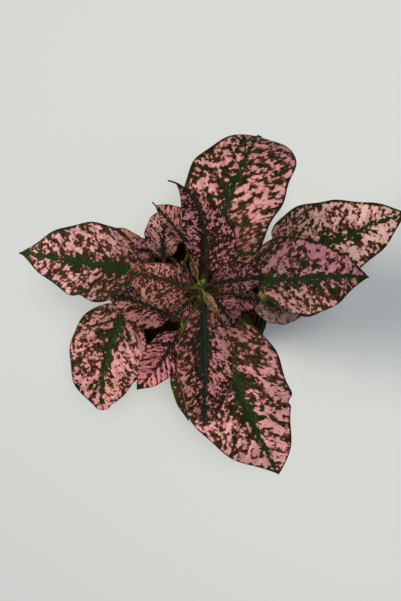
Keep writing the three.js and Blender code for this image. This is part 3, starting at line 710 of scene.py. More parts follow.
leaves = {
    "leaf_north": {
        "at": 92, "stalk": (13, 76, 40), "length": 90, "left": 25, "right": 27.8, "heading": (80, 61.5),
        "swing": 0.75, "pitch": (12, -50), "roll": (0, -11), "widest": (0.52, 0.635),
        "fullness": (0.88, 0.36), "wave": 1.2, "point": 2.4,
        "notches": ((1, 0.15, -3.6, 0.085), (1, 0.135, -1.6, 0.04)), "size": "large",
        "look": {
            "seed": 1, "streak": (0.95, 1.3), "pink": -0.05, "streakTurn": 42, "splash": rgb(207, 146, 142),
            "band": 1.9, "branch": 0.45, "speck": 2.1, "rough": 0.9, "towardsTip": 0.25, "margin": 0.6,
            "splashes": (
                (0.42, 0.35, 5, 0.2), (0.5, 0.6, 6, 0.15), (0.62, -0.35, 4, 0.25), (0.45, -0.4, 6, 0.2),
            ),
            "bare": (
                (0.56, -0.2, 5, 0.3), (0.3, -0.2, 8, 0.2), (0.18, 0.3, 13, 0.1), (0.4, -0.95, 6, 0.4),
                (0.56, -0.95, 6, 0.4), (0.7, -0.6, 5, 0.3), (0.62, 0.2, 4, 0.3),
            ),
            "mauveAndShade": ((1.0, 0.5, 26, 0.8), (0.16, 0.3, 20, 1)), "shade": ((0.16, 0.3, 18, 0.6),),
            "baseFine": 1,
        },
    },
    "leaf_east_low": {
        "at": 80, "stalk": (45.5, 26, 30), "length": 79, "left": 24.6, "right": 20, "heading": (24, 21),
        "pitch": (2, -18), "widest": (0.26, 0.4), "fullness": (0.34, 0.62), "wave": 1.2, "curl": 2,
        "phase": 1.2, "size": "large",
        "look": {
            "seed": 2, "splash": paleSalmon, "towardsTip": 0.15, "mauveAndShadeColour": rgb(190, 142, 132), "pink": 0.2,
            "rough": 1.05, "splashes": ((0.85, 0.4, 12, 0.2), (0.5, 0.5, 10, 0.1)), "band": 2.0,
            "blotch": 5.4, "speck": 2.2, "cell": 2.1, "core": salmon,
            "bare": ((0.36, -0.05, 8, 0.35), (0.55, 0, 6, 0.3), (0.2, -0.6, 6, 0.2), (0.75, 0, 4, 0.2)),
            "mauveAndShade": ((0.15, -0.5, 26, 0.8),), "margin": 0.75,
        },
    },
    "leaf_east": {
        "at": 106, "stalk": (26, 17, 34), "length": 63, "left": 21.5, "right": 19.3, "heading": (4.8, -0.4),
        "pitch": (6, -28), "widest": (0.27, 0.42), "fullness": (0.34, 1.05), "wave": 1.4, "curl": 2,
        "phase": 2.1, "size": "large",
        "look": {
            "seed": 3, "blotch": 4.1, "speck": 1.9, "pink": -0.02, "margin": 0.5,
            "mauveAndShadeColour": rgb(176, 110, 130), "green": rgb(34, 40, 20), "splash": rgb(200, 146, 142),
            "splashes": (
                (0.3, 0.55, 5, 0.3), (0.25, -0.4, 6, 0.2), (0.55, -0.5, 6, 0.15), (0.75, -0.4, 8, 0.25),
            ),
            "bare": ((0.3, -0.85, 4, 0.25), (0.5, -0.95, 4, 0.25), (0.04, -0.5, 5, 0.2)),
            "mauveAndShade": ((0.36, -0.6, 12, 1), (0.6, -0.5, 20, 1), (0.9, -0.2, 14, 0.9)), "coreShare": 0.2,
            "band": 1.8,
        },
    },
    "leaf_south_low": {
        "at": 92, "stalk": (9, 297, 38), "length": 99, "left": 26.6, "right": 30, "heading": (289, 298),
        "pitch": (6, -28), "widest": (0.37, 0.42), "fullness": (0.46, 0.85),
        "notches": ((0, 0.6, 2.4, 0.022), (0, 0.57, -1.2, 0.06)), "wave": 1.8, "curl": 2.5, "phase": 0.6,
        "size": "large",
        "look": {
            "seed": 4, "streak": (1.2, 1.0), "blotch": 5, "speck": 2.2, "cell": 2.1, "rough": 0.95,
            "pink": -0.04, "band": 2.3, "midReach": 6, "towardsTip": 0.3, "splash": rgb(211, 152, 150),
            "bare": ((0.42, 0.05, 6, 0.4), (0.58, 0.1, 5, 0.3)),
            "splashes": (
                (0.52, -0.45, 7, 0.2), (0.62, 0.42, 7, 0.15), (0.38, -0.55, 6, 0.2), (0.84, 0.35, 12, 0.12),
            ),
            "mauveAndShade": ((0.12, -0.3, 16, 0.8),),
        },
    },
    "leaf_south": {
        "at": 120, "stalk": (4, 283, 44), "length": 67, "left": 14.5, "right": 13.5, "heading": (272, 269),
        "pitch": (18, -52), "widest": (0.45, 0.45), "fullness": (0.7, 0.7), "wave": 1, "curl": 3.5,
        "fold": 0.1, "size": "large",
        "look": {
            "seed": 5, "blotch": 3.6, "speck": 1.5, "cell": 1.7, "pink": -0.1, "green": rgb(26, 26, 16),
            "midGreen": rgb(30, 46, 36), "rib": rgb(28, 42, 34), "band": 1.6, "softness": 0.6,
            "splash": rgb(178, 120, 116), "rim": rgb(48, 32, 22), "fleck": rgb(86, 48, 42),
            "mauveAndShadeColour": rgb(142, 92, 98), "streak": (1.3, 1.5), "edgeTone": rgb(96, 78, 44), "branch": 0.2,
            "splashes": ((0.4, -0.5, 5, 0.35), (0.28, -0.6, 5, 0.35), (0.6, -0.4, 4, 0.2)),
            "bare": ((0.3, 0.1, 6, 0.4), (0.45, 0.0, 5, 0.3)),
            "mauveAndShade": ((0.1, 0.3, 12, 1), (0.4, 0.8, 14, 1), (0.9, 0, 14, 0.8), (0.65, 0.6, 12, 0.9)),
        },
    },
    "leaf_southwest": {
        "at": 80, "stalk": (41, 169, 30), "length": 63, "left": 22, "right": 21, "heading": (236, 274),
        "pitch": (2, -28), "widest": (0.42, 0.4), "fullness": (0.62, 0.54), "wave": 1.5, "curl": 2,
        "phase": 0.9, "tipRound": 5, "size": "large",
        "look": {
            "seed": 6, "pink": 0.02, "band": 2.0, "tipGreen": 0.1, "splash": rgb(210, 148, 142),
            "splashes": ((0.5, -0.45, 10, 0.25), (0.9, 0.2, 8, 0.15), (0.96, 0, 5, 0.5)),
            "bare": ((0.35, 0, 6, 0.3),), "mauveAndShade": ((0.05, -0.3, 12, 0.8),), "margin": 0.3,
        },
    },
    "leaf_west": {
        "at": 106, "stalk": (31, 158, 32), "length": 68, "left": 19, "right": 21, "heading": (168, 173),
        "pitch": (4, -28), "fullness": (0.72, 0.7), "notches": ((0, 0.42, 1.5, 0.045),), "wave": 1.5,
        "curl": 2, "phase": 1.7, "size": "large",
        "look": {
            "seed": 7, "pink": -0.04, "band": 1.6, "tipGreen": 0.5, "streak": (1.3, 1.1), "branch": 0.4,
            "splash": rgb(206, 152, 149),
            "bare": ((0.2, 0.05, 5, 0.35), (0.45, 0, 5, 0.25), (0.15, -0.5, 9, 0.2), (0.8, -0.4, 9, 0.1)),
            "mauveAndShade": ((0.1, -0.4, 14, 0.8),), "splashes": ((0.18, 0.6, 9, 0.18), (0.5, 0.5, 10, 0.12)),
        },
    },
    "leaf_north_top": {
        "at": 120, "stalk": (6, 80, 42), "length": 54, "left": 10.5, "right": 15.5, "heading": (86, 172),
        "swing": 2.4, "pitch": (20, -6), "widest": (0.46, 0.31), "fullness": (0.8, 0.95), "wave": 1,
        "fold": 0.3, "curl": 1, "point": 4, "phase": 2.6, "size": "large",
        "look": {
            **upperLook, "seed": 8, "splash": rgb(172, 116, 118), "towardsTip": 0.3,
            "streak": (1.3, 1.1), "tipGreen": 0, "band": 1.7, "rib": rgb(34, 40, 28),
            "bare": ((0.3, 0.3, 5, 0.3),), "splashes": ((0.97, 0, 3.5, 0.7),),
            "shade": ((0.25, 0.6, 11, 0.4), (0.6, 0.6, 12, 0.5), (0.95, 0.3, 10, 0.4)),
        },
    },
    "leaf_west_top": {
        "at": 132, "stalk": (2, 190, 36), "length": 34, "left": 14, "right": 7.5, "heading": (162, 172),
        "pitch": (2, -34), "widest": (0.38, 0.42), "size": "middle",
        "look": {
            **upperLook, "seed": 9, "blotch": 2.2, "speck": 1.2, "cell": 1.4, "pink": -0.06,
            "splash": rgb(166, 112, 104), "edgeTone": rgb(110, 80, 52), "green": rgb(52, 32, 20),
            "rim": rgb(60, 34, 24), "fleck": rgb(96, 56, 48), "band": 1.0,
            "shade": ((0.35, -0.6, 13, 0.4), (0.9, 0, 9, 0.6)), "splashes": ((0.45, 0.5, 6, 0.3),),
        },
    },
    "leaf_east_top": {
        "at": 132, "stalk": (2.5, 13, 36), "length": 27.5, "left": 9, "right": 6.5, "heading": (10, 6),
        "pitch": (4, -30), "widest": (0.48, 0.48), "wave": 0.6, "phase": 1,
        "look": {
            **upperLook, "seed": 10, "blotch": 2.2, "speck": 1.2, "cell": 1.4, "pink": 0.02, "band": 0.7,
            "green": rgb(48, 30, 24), "splash": rgb(136, 92, 90), "shade": ((0.1, -0.5, 7, 0.7),),
        },
    },
    "leaf_northwest": {
        "shoot": "northWest", "at": 105, "stalk": (10, 63, 56), "length": 29, "left": 4.5, "right": 11.5,
        "heading": (126, 134), "pitch": (4, -14), "fold": 0.3, "wave": 0.6, "phase": 0.4, "point": 2,
        "look": {
            **upperLook, "seed": 11, "pink": 0.26, "streak": (2.2, 2.2), "splash": rgb(172, 112, 110),
            "band": 0.8, "tipGreen": 0, "softness": 1, "coreShare": 0.1, "rib": rgb(40, 40, 28),
            "splashes": ((0.95, 0, 3.5, 0.7),),
        },
    },
    "leaf_northwest_round": {
        "shoot": "northWest", "at": 98, "stalk": (13, 169, 38), "length": 28, "left": 10, "right": 9,
        "heading": (94, 78), "pitch": (8, -20), "widest": (0.48, 0.48), "wave": 0.6, "phase": 2,
        "look": {
            **upperLook, "seed": 12, "blotch": 3.4, "band": 0.8, "pink": 0.05, "splash": rgb(204, 144, 130),
            "streak": (1.8, 1.8), "green": rgb(44, 48, 18), "bare": ((0.35, 0, 3, 0.3),),
            "splashes": ((0.45, 0.5, 6, 0.5), (0.4, -0.5, 6, 0.2)), "shade": ((0.08, 0, 6, 0.8),),
        },
    },
    "leaf_northwest_narrow": {
        "shoot": "northWest", "at": 94, "stalk": (4, 170, 46), "length": 22, "left": 4, "right": 4,
        "heading": (164, 168), "pitch": (2, -14), "fold": 0.3, "wave": 0.4,
        "look": {**upperLook, "seed": 13, "band": 0.8},
    },
    "leaf_west_low": {
        "at": 72, "stalk": (34, 137, 38), "length": 33, "left": 9, "right": 8, "heading": (146, 148),
        "pitch": (6, -20), "widest": (0.48, 0.55), "wave": 0.6, "phase": 1.1,
        "look": {
            **upperLook, "seed": 14, "pink": 0.3, "splash": rgb(156, 114, 90),
            "splashEdge": rgb(110, 72, 54), "core": rgb(186, 120, 100), "green": rgb(84, 76, 40),
            "margin": 0.1, "edgeTone": rgb(120, 84, 60),
        },
    },
    "leaf_northwest_low": {
        "at": 80, "stalk": (38.5, 119, 40), "length": 26, "left": 7.5, "right": 7, "heading": (174, 180),
        "pitch": (4, -18), "widest": (0.42, 0.42), "wave": 0.5, "phase": 0.2,
        "look": {**upperLook, "seed": 15, "pink": 0.3, "splash": rgb(190, 124, 128), "band": 0.8},
    },
    "leaf_west_middle": {
        "shoot": "southWest", "at": 107, "stalk": (5, 154, 46), "length": 39, "left": 12, "right": 9,
        "heading": (158, 162), "pitch": (4, -24), "phase": 0.7, "size": "middle",
        "look": {
            **upperLook, "seed": 16, "blotch": 3.4, "pink": 0.1, "splash": rgb(170, 112, 110), "band": 1.2,
            "green": rgb(38, 24, 14), "streak": (1.6, 1.2), "bare": ((0.8, 0.2, 5, 0.4),),
            "shade": ((0.2, -0.6, 10, 0.4), (0.55, -0.6, 10, 0.4), (0.9, -0.3, 8, 0.4)),
        },
    },
    "leaf_southwest_small": {
        "shoot": "southWest", "at": 105, "stalk": (4, 246, 32), "length": 40.5, "left": 9.8, "right": 10.5,
        "heading": (241, 226), "pitch": (4, -28), "widest": (0.38, 0.4), "fold": 0.18, "wave": 0.6,
        "phase": 1.9, "size": "middle",
        "look": {
            **upperLook, "seed": 17, "pink": 0.17, "baseShade": 0.1,
            "shade": ((0.5, 0.6, 10, 0.45), (0.85, 0.6, 8, 0.4)), "splash": rgb(200, 126, 128),
            "splashEdge": rgb(132, 62, 68), "veinDark": 0.9, "veins": 8, "branch": 0.35, "branchReach": 60,
            "streak": (2, 2), "rough": 0.8, "core": rgb(206, 96, 118),
            "mauveAndShade": ((0.15, 0.2, 12, 1),), "splashes": ((0.7, -0.3, 8, 0.35),), "band": 0.9,
            "coreShare": 0.5,
        },
    },
    "leaf_south_hidden": {
        "at": 72, "stalk": (24, 260, 46), "length": 44, "left": 9, "right": 10, "heading": (256, 277),
        "pitch": (2, -18), "wave": 0.6, "phase": 0.3,
        "look": {
            "seed": 18, "blotch": 2.6, "speck": 1.4, "cell": 1.6, "pink": -0.2, "edgeTone": oliveGreen,
            "band": 1.2, "splash": rgb(196, 132, 124), "green": rgb(44, 54, 24),
        },
    },
    "leaf_east_round": {
        "at": 72, "stalk": (29, 15, 38), "length": 30, "left": 13, "right": 10.5, "heading": (340, 346),
        "pitch": (2, -14), "widest": (0.48, 0.48), "wave": 0.5, "phase": 2.4,
        "look": {
            **upperLook, "seed": 19, "pink": 0.28, "splash": rgb(168, 134, 124), "baseShade": 0.2,
            "yellowed": ((0.14, -0.3, 3.2, 1.2),), "splashEdge": rgb(122, 84, 74),
            "core": rgb(150, 112, 106), "green": rgb(72, 74, 34), "bare": ((0.4, 0.1, 6, 0.3),),
            "branch": 0.1, "margin": 0.1, "rough": 0.9, "rim": rgb(68, 56, 40), "fleck": rgb(90, 68, 56),
            "speck": 1.0, "edgeTone": rgb(120, 88, 76),
        },
    },
    "leaf_east_small": {
        "shoot": "east", "at": 104, "stalk": (5, 336, 50), "length": 14, "left": 5, "right": 7,
        "heading": (356, 350), "pitch": (4, -12), "widest": (0.42, 0.42), "wave": 0.3, "curl": 0.8,
        "look": {
            **upperLook, "seed": 20, "pink": 0.2, "splash": rgb(152, 96, 98), "streak": (2.2, 2.2),
            "band": 0.8, "baseShade": 0.2, "shade": ((0.9, 0, 5, 0.6),),
        },
    },
    "leaf_southeast_top": {
        "at": 116, "stalk": (4, 340, 44), "length": 20, "left": 9, "right": 5.5, "heading": (316, 296),
        "pitch": (4, -20), "widest": (0.44, 0.44), "wave": 0.5, "phase": 1.4, "curl": 1,
        "look": {
            **upperLook, "seed": 21, "pink": 0.2, "splash": rgb(160, 104, 104), "streak": (1.8, 1.4),
            "band": 1.0, "splashes": ((0.9, 0.3, 4, 0.4),), "shade": ((0.75, -0.5, 6, 0.5),),
        },
    },
    "leaf_southwest_top": {
        "at": 116, "stalk": (4, 214, 44), "length": 16, "left": 5, "right": 7, "heading": (224, 232),
        "pitch": (4, -20), "widest": (0.42, 0.42), "wave": 0.5, "phase": 0.5, "curl": 1,
        "look": {
            **upperLook, "seed": 22, "streak": (2, 2), "pink": 0.06, "splash": rgb(146, 96, 92),
            "band": 0.8, "shade": ((0.9, 0, 6, 0.8),),
        },
    },
    "leaf_northwest_top": {
        "at": 117.4, "stalk": (3, 146, 40), "length": 22, "left": 6, "right": 8, "heading": (156, 162),
        "pitch": (0, -8), "widest": (0.42, 0.42), "wave": 0.4, "phase": 2.2, "curl": 1,
        "look": {
            **upperLook, "seed": 25, "streak": (2, 2), "pink": 0.05, "band": 0.8,
            "splash": rgb(160, 100, 100),
        },
    },
    "young_leaf_north": {
        "at": 136, "stalk": (2, 108, 60), "length": 13, "left": 1.8, "right": 1.6, "heading": (112, 104),
        "pitch": (36, 12), "fold": 0.7, "wave": 0.2, "curl": 0, "size": "tiny",
        "look": {
            **upperLook, "seed": 23, "splash": rgb(130, 98, 82), "splashEdge": rgb(84, 54, 40),
            "green": rgb(54, 42, 26), "rim": rgb(74, 52, 32), "stalkTone": rgb(88, 98, 40), "stalkEnd": 6,
            "rib": beige, "edgeTone": rgb(112, 82, 58), "margin": 0, "band": 0.1, "branch": 0, "pink": 0.1,
            "baseShade": 0,
        },
    },
    "young_leaf_south": {
        "at": 136, "stalk": (2, 300, 50), "length": 15, "left": 2.2, "right": 2, "heading": (300, 306),
        "pitch": (22, -20), "fold": 0.7, "wave": 0.2, "curl": 0, "size": "tiny",
        "look": {
            **upperLook, "seed": 24, "splash": rgb(136, 104, 82), "splashEdge": rgb(90, 60, 42),
            "green": rgb(62, 54, 28), "rim": rgb(80, 58, 34), "stalkTone": rgb(88, 98, 40), "stalkEnd": 6,
            "rib": rgb(166, 124, 92), "edgeTone": rgb(108, 84, 52), "margin": 0, "band": 0.1, "branch": 0,
            "pink": 0.14, "baseShade": 0,
        },
    },
}


# Walks from a start in short straight steps, and gives the place and the cross directions at each.
def walkAlong(start, heading, pitch, roll, length):
    h, p, r = np.radians(heading), np.radians(pitch), np.radians(roll)[:, None]
    forward = np.stack([np.cos(h) * np.cos(p), np.sin(h) * np.cos(p), np.sin(p)], 1)
    level = np.stack([np.sin(h), -np.cos(h), 0 * h], 1)
    side = level * np.cos(r) + np.cross(forward, level) * np.sin(r)
    steps = forward[:-1] * length / (len(h) - 1)
    places = start + np.vstack([np.zeros(3), np.cumsum(steps, 0)])
    return places, side, np.cross(side, forward)


# The stalk's end dips into the joint's swelling, where the solid keeps clear of it.
def stalkFoot(leaf, stalkRadius):
    shoot = shoots[leaf["shoot"]]
    place = pointAtHeight(shoot["points"], leaf["at"])
    ahead = (pointAtHeight(shoot["points"], leaf["at"] + 1) - place).normalized()
    heading, rise = math.radians(leaf["stalk"][1]), math.radians(leaf["stalk"][2])
    outward = Vector((math.cos(heading), math.sin(heading), 0))
    lean = ahead.dot(outward) / ahead.z
    shootSide = shootRadius(shoot, leaf["at"]) * math.hypot(1, lean)
    stalkSide = stalkRadius * (math.sin(rise) + max(0, lean))
    return np.array(place + outward * (shootSide + stalkSide - bladeForm["stalkDip"]))


# Half width as a share of the greatest at "t" along the blade: round at the base, drawn out to the tip.
def outline(t, widest, fullness):
    t = np.clip(t, 1e-6, 1 - 1e-6)
    return (t / widest) ** fullness * ((1 - t) / (1 - widest)) ** (fullness * (1 - widest) / widest)


def byHalf(half, left, right):
    return np.where(half, right, left)


# The line that a leaf grows along. Each ring has its place, its side and upward directions, how far along
# the blade it is (-1 on the stalk), and how many mm it is past the blade's base. The tip's own place comes
# last.
def middleLine(leaf, size):
    fine, stalkRings = bladeForm["walkSteps"], bladeForm["stalkRings"]
    rings = int(leaf["length"] / size["step"])
    stalkLength, stalkHeading, rise = leaf["stalk"]
    baseHeading = leaf["heading"][0] + 360 * round((stalkHeading - leaf["heading"][0]) / 360)
    t = np.linspace(0, 1, stalkRings * fine + 1)
    turned = t ** bladeForm["stalkTurn"]
    stalk = walkAlong(
        stalkFoot(leaf, size["stalk"]), mix(stalkHeading, baseHeading, turned),
        mix(rise, leaf["pitch"][0], t), leaf["roll"][0] * turned, stalkLength + bladeForm["stalkExtra"],
    )
    t = np.linspace(0, 1, rings * fine + 1)
    blade = walkAlong(
        stalk[0][-1], mix(*leaf["heading"], t ** leaf["swing"]),
        mix(*leaf["pitch"], t ** leaf["late"]), mix(*leaf["roll"], t), leaf["length"],
    )
    # Rings of the stalk, then of the blade, with one more close to its tip.
    pick = list(range(0, rings * fine, fine)) + [rings * fine - 2]
    place, side, up = (np.vstack([a[:-1:fine], b[pick]]) for a, b in zip(stalk, blade))
    along = np.concatenate([np.full(stalkRings, -1.0), t[pick]])
    onStalk = np.linspace(-stalkLength, 0, stalkRings, endpoint=False)
    fromBase = np.concatenate([onStalk, t[pick] * leaf["length"]])
    return place, side, up, along[:, None], fromBase[:, None], blade[0][-1:]


# The blade laid flat: a row of points for each ring, from its left edge to its right one, closer together
# at the midrib. "half" is 0 on the left and 1 on the right.
def flatBlade(leaf, look, size, along, fromBase):
    form = bladeForm
    t = np.clip(along, 0, 1)
    evenly = np.linspace(-1, 1, size["across"] + 1)[None, :]
    s = evenly * (1 - form["crowding"] + form["crowding"] * np.abs(evenly))
    half = (s >= 0).astype(int)
    toPoint = t * leaf["length"] / (leaf["length"] - leaf["point"])
    plain = byHalf(half, *(outline(toPoint, leaf["widest"][i], leaf["fullness"][i]) for i in (0, 1)))
    beat = 2 * np.pi * form["ripples"] * t + leaf["phase"] + half * form["sideLag"]
    rippled = byHalf(half, leaf["left"], leaf["right"]) * plain * (1 + leaf["ripple"] * np.sin(beat))
    width = np.maximum(rippled, form["leastHalf"])
    for notchHalf, where, depth, wide in leaf["notches"]:
        width = width - (half == notchHalf) * depth * bell((t - where) / wide)
    toTip = (1 - t) * leaf["length"]
    width = np.maximum(width, np.sqrt(np.maximum(0, 2 * leaf["tipRound"] * toTip - toTip ** 2)))
    across = s * width
    greatest = max(leaf["left"], leaf["right"])
    # Side veins leave the midrib at their foot, and bow towards the tip.
    foot = fromBase - form["lean"] * np.abs(across) - form["bow"] * across ** 2 / greatest
    spacing = look["veins"] * leaf["length"] / form["usualLength"]
    return SimpleNamespace(
        t=t, s=s, half=half, across=across, greatest=greatest, fromBase=fromBase, toTip=toTip,
        toEdge=(1 - np.abs(s)) * width, foot=foot, spacing=spacing,
        toVein=np.abs(foot / spacing - np.round(foot / spacing)) * spacing,
    )


# How high the blade's upper and lower faces lie over its middle line.
def bladeHeights(leaf, flat, stalkRadius):
    form = bladeForm
    t, s, across = flat.t, flat.s, flat.across
    folded = leaf["fold"] * (np.hypot(across, form["foldRound"]) - form["foldRound"])
    curled = -leaf["curl"] * (across / flat.greatest) ** 2
    hump = np.sqrt(np.clip(np.sin(np.pi * t), 0, 1))
    beat = 2 * np.pi * leaf["waves"] * t + leaf["phase"] + flat.half * form["sideLag"]
    waved = leaf["wave"] * s * s * np.sin(beat) * hump
    fade = (1 - np.abs(s) ** 3) * hump
    quilt = form["quilt"] * (flat.greatest / form["usualHalf"])
    pillow = quilt * np.sin(np.pi * flat.foot / flat.spacing) ** 2
    quilted = pillow * fade * np.minimum(1, np.abs(across) / form["quiltFrom"])
    grooved = form["veinGroove"] * bell(flat.toVein / form["veinWidth"]) * fade
    sheet = folded + curled + waved + quilted
    thick = mix(form["thickness"], form["edgeThickness"], np.abs(s) ** 2) / 2
    midGroove = form["midribGroove"] * (1 - t) * bell(across / form["midribWidth"])
    ribSize = form["ribDepth"] * stalkRadius / leafSizes["large"]["stalk"] * (1 - form["ribTaper"] * t)
    rib = ribSize * bell(across / (ribSize + form["ribSpread"])) + grooved
    return sheet + thick - grooved - midGroove, sheet - thick - rib


def growLeaf(node, own):
    leaf = {**leafDefaults, **own}
    look = {**lookDefaults, **own["look"]}
    size = leafSizes[leaf["size"]]
    stalkRadius = size["stalk"]
    place, side, up, along, fromBase, tip = middleLine(leaf, size)
    flat = flatBlade(leaf, look, size, along, fromBase)
    bladeTop, bladeUnder = bladeHeights(leaf, flat, stalkRadius)

    # The round stalk flattens into the blade over its first few millimetres.
    count = size["across"] + 1
    angle = np.pi * (np.arange(count) + 0.5)[None, :] / count
    isFlat = np.where(along >= 0, smooth(fromBase / bladeForm["flattenOver"]), 0)
    roundAcross, roundHigh = -stalkRadius * np.cos(angle), stalkRadius * np.sin(angle)
    across = mix(roundAcross, flat.across, isFlat)
    highTop = mix(roundHigh * bladeForm["stalkRound"], bladeTop, isFlat)
    highUnder = mix(-roundHigh, bladeUnder, isFlat)
    under, top = (
        place[:, None] + side[:, None] * across[..., None] + up[:, None] * high[..., None]
        for high in (highUnder, highTop)
    )
    rings = np.concatenate([under, top[:, ::-1]], 1)
    points = np.vstack([rings.reshape(-1, 3), place[:1], tip])
    faces = skinOver(*rings.shape[:2], len(points) - 2, len(points) - 1)
    piece = makePiece(node + "_grown", points, faces, leafFinish(node, look, stalkRadius))
    paintLeaf(piece.data, leaf, look, flat, across)
    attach(piece, "root")
    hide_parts(node)


# Widths and reaches in mm, except "tipFrom", "shadeTo" and "fineTo", which are shares of the blade's length.
paintSpread = {
    "bandGreen": 0.65, "bandLeast": 0.3, "marginWidth": 1.3, "branchWidth": 1.2, "tipFrom": 0.4,
    "tipWidth": 3, "shadeTo": 0.28, "fineTo": 0.3, "fineReach": 12, "ribBlend": 0.5,
    "seedStep": 37, "halfStep": 6, "halfBlend": 2,
}


# What the finish reads at each point: its place in mm, how pink it is there on the whole, how mauve
# (partly painted shade), how dark with painted shade, and how yellowed.
def paintLeaf(mesh, leaf, look, flat, acrossWithStalk):
    spread = paintSpread
    t, across, fromBase = flat.t, flat.across, flat.fromBase

    def around(where, off, wide):
        return bell(np.hypot(fromBase - where * leaf["length"], across - off * flat.greatest) / wide)

    def withEnds(values):
        values = values.ravel()
        return np.concatenate([values, values[:1], values[-1:]])

    def onBothFaces(values):
        full = np.broadcast_to(values, across.shape)
        return withEnds(np.concatenate([full, full[:, ::-1]], 1))

    band = look["band"] * (1 - t) ** 0.5 + spread["bandLeast"]
    reach = look["branchReach"] * flat.greatest / bladeForm["usualHalf"]
    onBranch = bell(flat.toVein / spread["branchWidth"])
    pinkness = look["pink"] - spread["bandGreen"] * bell(across / band)
    pinkness = pinkness - look["margin"] * bell(flat.toEdge / spread["marginWidth"])
    pinkness = pinkness - look["branch"] * onBranch * np.exp(-np.abs(across) / reach)
    pinkness = pinkness + look["towardsTip"] * (t - spread["tipFrom"])
    pinkness = pinkness - look["tipGreen"] * bell(flat.toTip / spread["tipWidth"])
    for *where, strength in look["splashes"]:
        pinkness = pinkness + strength * around(*where)
    for *where, strength in look["bare"]:
        pinkness = pinkness - strength * around(*where)
    # Painted shade darkens the base and the listed places; the base's darkness is partly its own colour too.
    painted = {"mauveAndShade": 0, "shade": look["baseShade"] * bell(t / spread["shadeTo"]), "yellowed": 0}
    for name in painted:
        for *where, strength in look[name]:
            painted[name] = np.maximum(painted[name], strength * around(*where))
    painted |= {"pinkness": pinkness, "veinFoot": flat.foot, "toEdge": flat.toEdge}
    for name, values in painted.items():
        setOnPoints(mesh, name, onBothFaces(values))

    isTop = withEnds(np.concatenate([np.zeros(across.shape), np.ones(across.shape)], 1))
    spot = [onBothFaces(acrossWithStalk), onBothFaces(fromBase), isTop]
    setOnPoints(mesh, "spot", np.stack(spot, 1))

    # The splashes run a little along the side veins, and differ from one half of the leaf to the other.
    finer = 1 + look["baseFine"] * bell(t / spread["fineTo"])
    out = np.hypot(across * finer, spread["ribBlend"])
    fineReach = spread["fineReach"]
    ahead = fromBase + look["baseFine"] * fineReach * (1 - np.exp(-fromBase / fineReach))
    veinTurn = math.radians(look["streakTurn"])
    onVein = out * math.sin(veinTurn) + ahead * math.cos(veinTurn)
    offVein = ahead * math.sin(veinTurn) - out * math.cos(veinTurn)
    deep = look["seed"] * spread["seedStep"] + spread["halfStep"] * np.tanh(across / spread["halfBlend"])
    streak = byHalf(flat.half, *look["streak"])
    grain = [onBothFaces(values) for values in (onVein / streak, offVein * streak ** 0.5, deep)]
    setOnPoints(mesh, "grain", np.stack(grain, 1))


# What all leaves share: how the splashes are mixed, and the looks of midribs, veins, edges, undersides and
# stalks. Sizes are in mm.
leafPaint = {
    "shine": 0.05, "roughness": (0.4, 0.6, 0.52, 0.62),
    "push": 1.8, "pushSize": 2.4, "dotFade": (0.2, 0.55, 1, 0),
    "blotchWeight": 1.9, "speckWeight": 2.1, "dotWeight": 1.5,
    "edgeAt": 0.51, "edgeHalf": 0.035, "insideOver": 0.14, "toneSize": 5, "tone": (0.46, 0.62),
    "heart": (0.64, 0.84), "rimAt": 0.26, "midFrom": 0.5, "mottleSize": 1.6,
    "mottle": (0.35, 0.65, 0.15, 0.75),
    "greenWhereNarrow": (0.5, 4, 0.3, 1), "ribWhereNarrow": (0.5, 4, 0.1, 1),
    "ribWidths": (0.64, 0.25), "ribEdge": (0.5, 1.2, 1, 0), "ribStrength": 0.55, "veinLine": (0.02, 0.08),
    "wornSize": 3, "worn": (0.35, 0.6, 0.3, 1), "edgeLine": (0.2, 0.9, 0.9, 0),
    "yellowed": rgb(250, 236, 120), "yellowSize": 1.1, "yellowSpots": (0.4, 0.56),
    "under": rgb(126, 120, 104), "underShare": 0.55,
    "stalkFrom": -1.0, "stalkFlush": rgb(92, 52, 44), "flushSize": 5, "flush": (0.4, 0.7, 0, 0.8),
    "netSize": 1.7, "netEdge": (0, 0.25), "grainSize": 0.5, "grainShare": 0.35, "relief": (0.16, 0.6),
}


# Islands with round dark flecks in them, as a share that is above "edgeAt" on the pink.
def splashShare(tree, look, grain, bent):
    blotch = aroundZero(tree, noiseAt(tree, grain, look["blotch"], 1))
    speck = aroundZero(tree, noiseAt(tree, bent, look["speck"], 1))
    chance = aroundZero(tree, cellsAt(tree, bent, look["cell"]))
    toMiddle = cellsAt(tree, bent, look["cell"], "F1", "Distance")
    dot = times(tree, chance, fromTo(tree, toMiddle, *leafPaint["dotFade"]))
    field = readPoint(tree, "pinkness")
    field = calc(tree, "MULTIPLY_ADD", blotch, leafPaint["blotchWeight"], field)
    field = calc(tree, "MULTIPLY_ADD", speck, leafPaint["speckWeight"] * look["rough"], field)
    field = calc(tree, "MULTIPLY_ADD", dot, leafPaint["dotWeight"] * look["rough"], field)
    return calc(tree, "MULTIPLY_ADD", field, 0.5, 0.5)


def pinkColour(tree, look, grain, share):
    tone = noiseAt(tree, grain, leafPaint["toneSize"], 3, 0.6)
    hot = times(tree, fromTo(tree, tone, *leafPaint["tone"]), look["coreShare"])
    pink = mixColours(tree, hot, look["splash"], look["core"])
    # Mauve in places: partly the leaf's own colour and partly painted shade where the blade faces away from
    # the light.
    mauveAndShade = readPoint(tree, "mauveAndShade")
    pink = mixColours(tree, mauveAndShade, pink, look["mauveAndShadeColour"])
    inside = fromTo(tree, share, 0.5, 0.5 + leafPaint["insideOver"] * look["softness"])
    pink = mixColours(tree, inside, look["splashEdge"], pink)
    bright = tuple(min(c * look["heart"], 1) for c in look["splash"])
    heart = times(tree, fromTo(tree, share, *leafPaint["heart"]), calc(tree, "SUBTRACT", 1, mauveAndShade))
    pink = mixColours(tree, heart, pink, bright)
    # Painted shade: where the shade value is high, the pink darkens to the fleck colour.
    return mixColours(tree, readPoint(tree, "shade"), pink, look["fleck"])


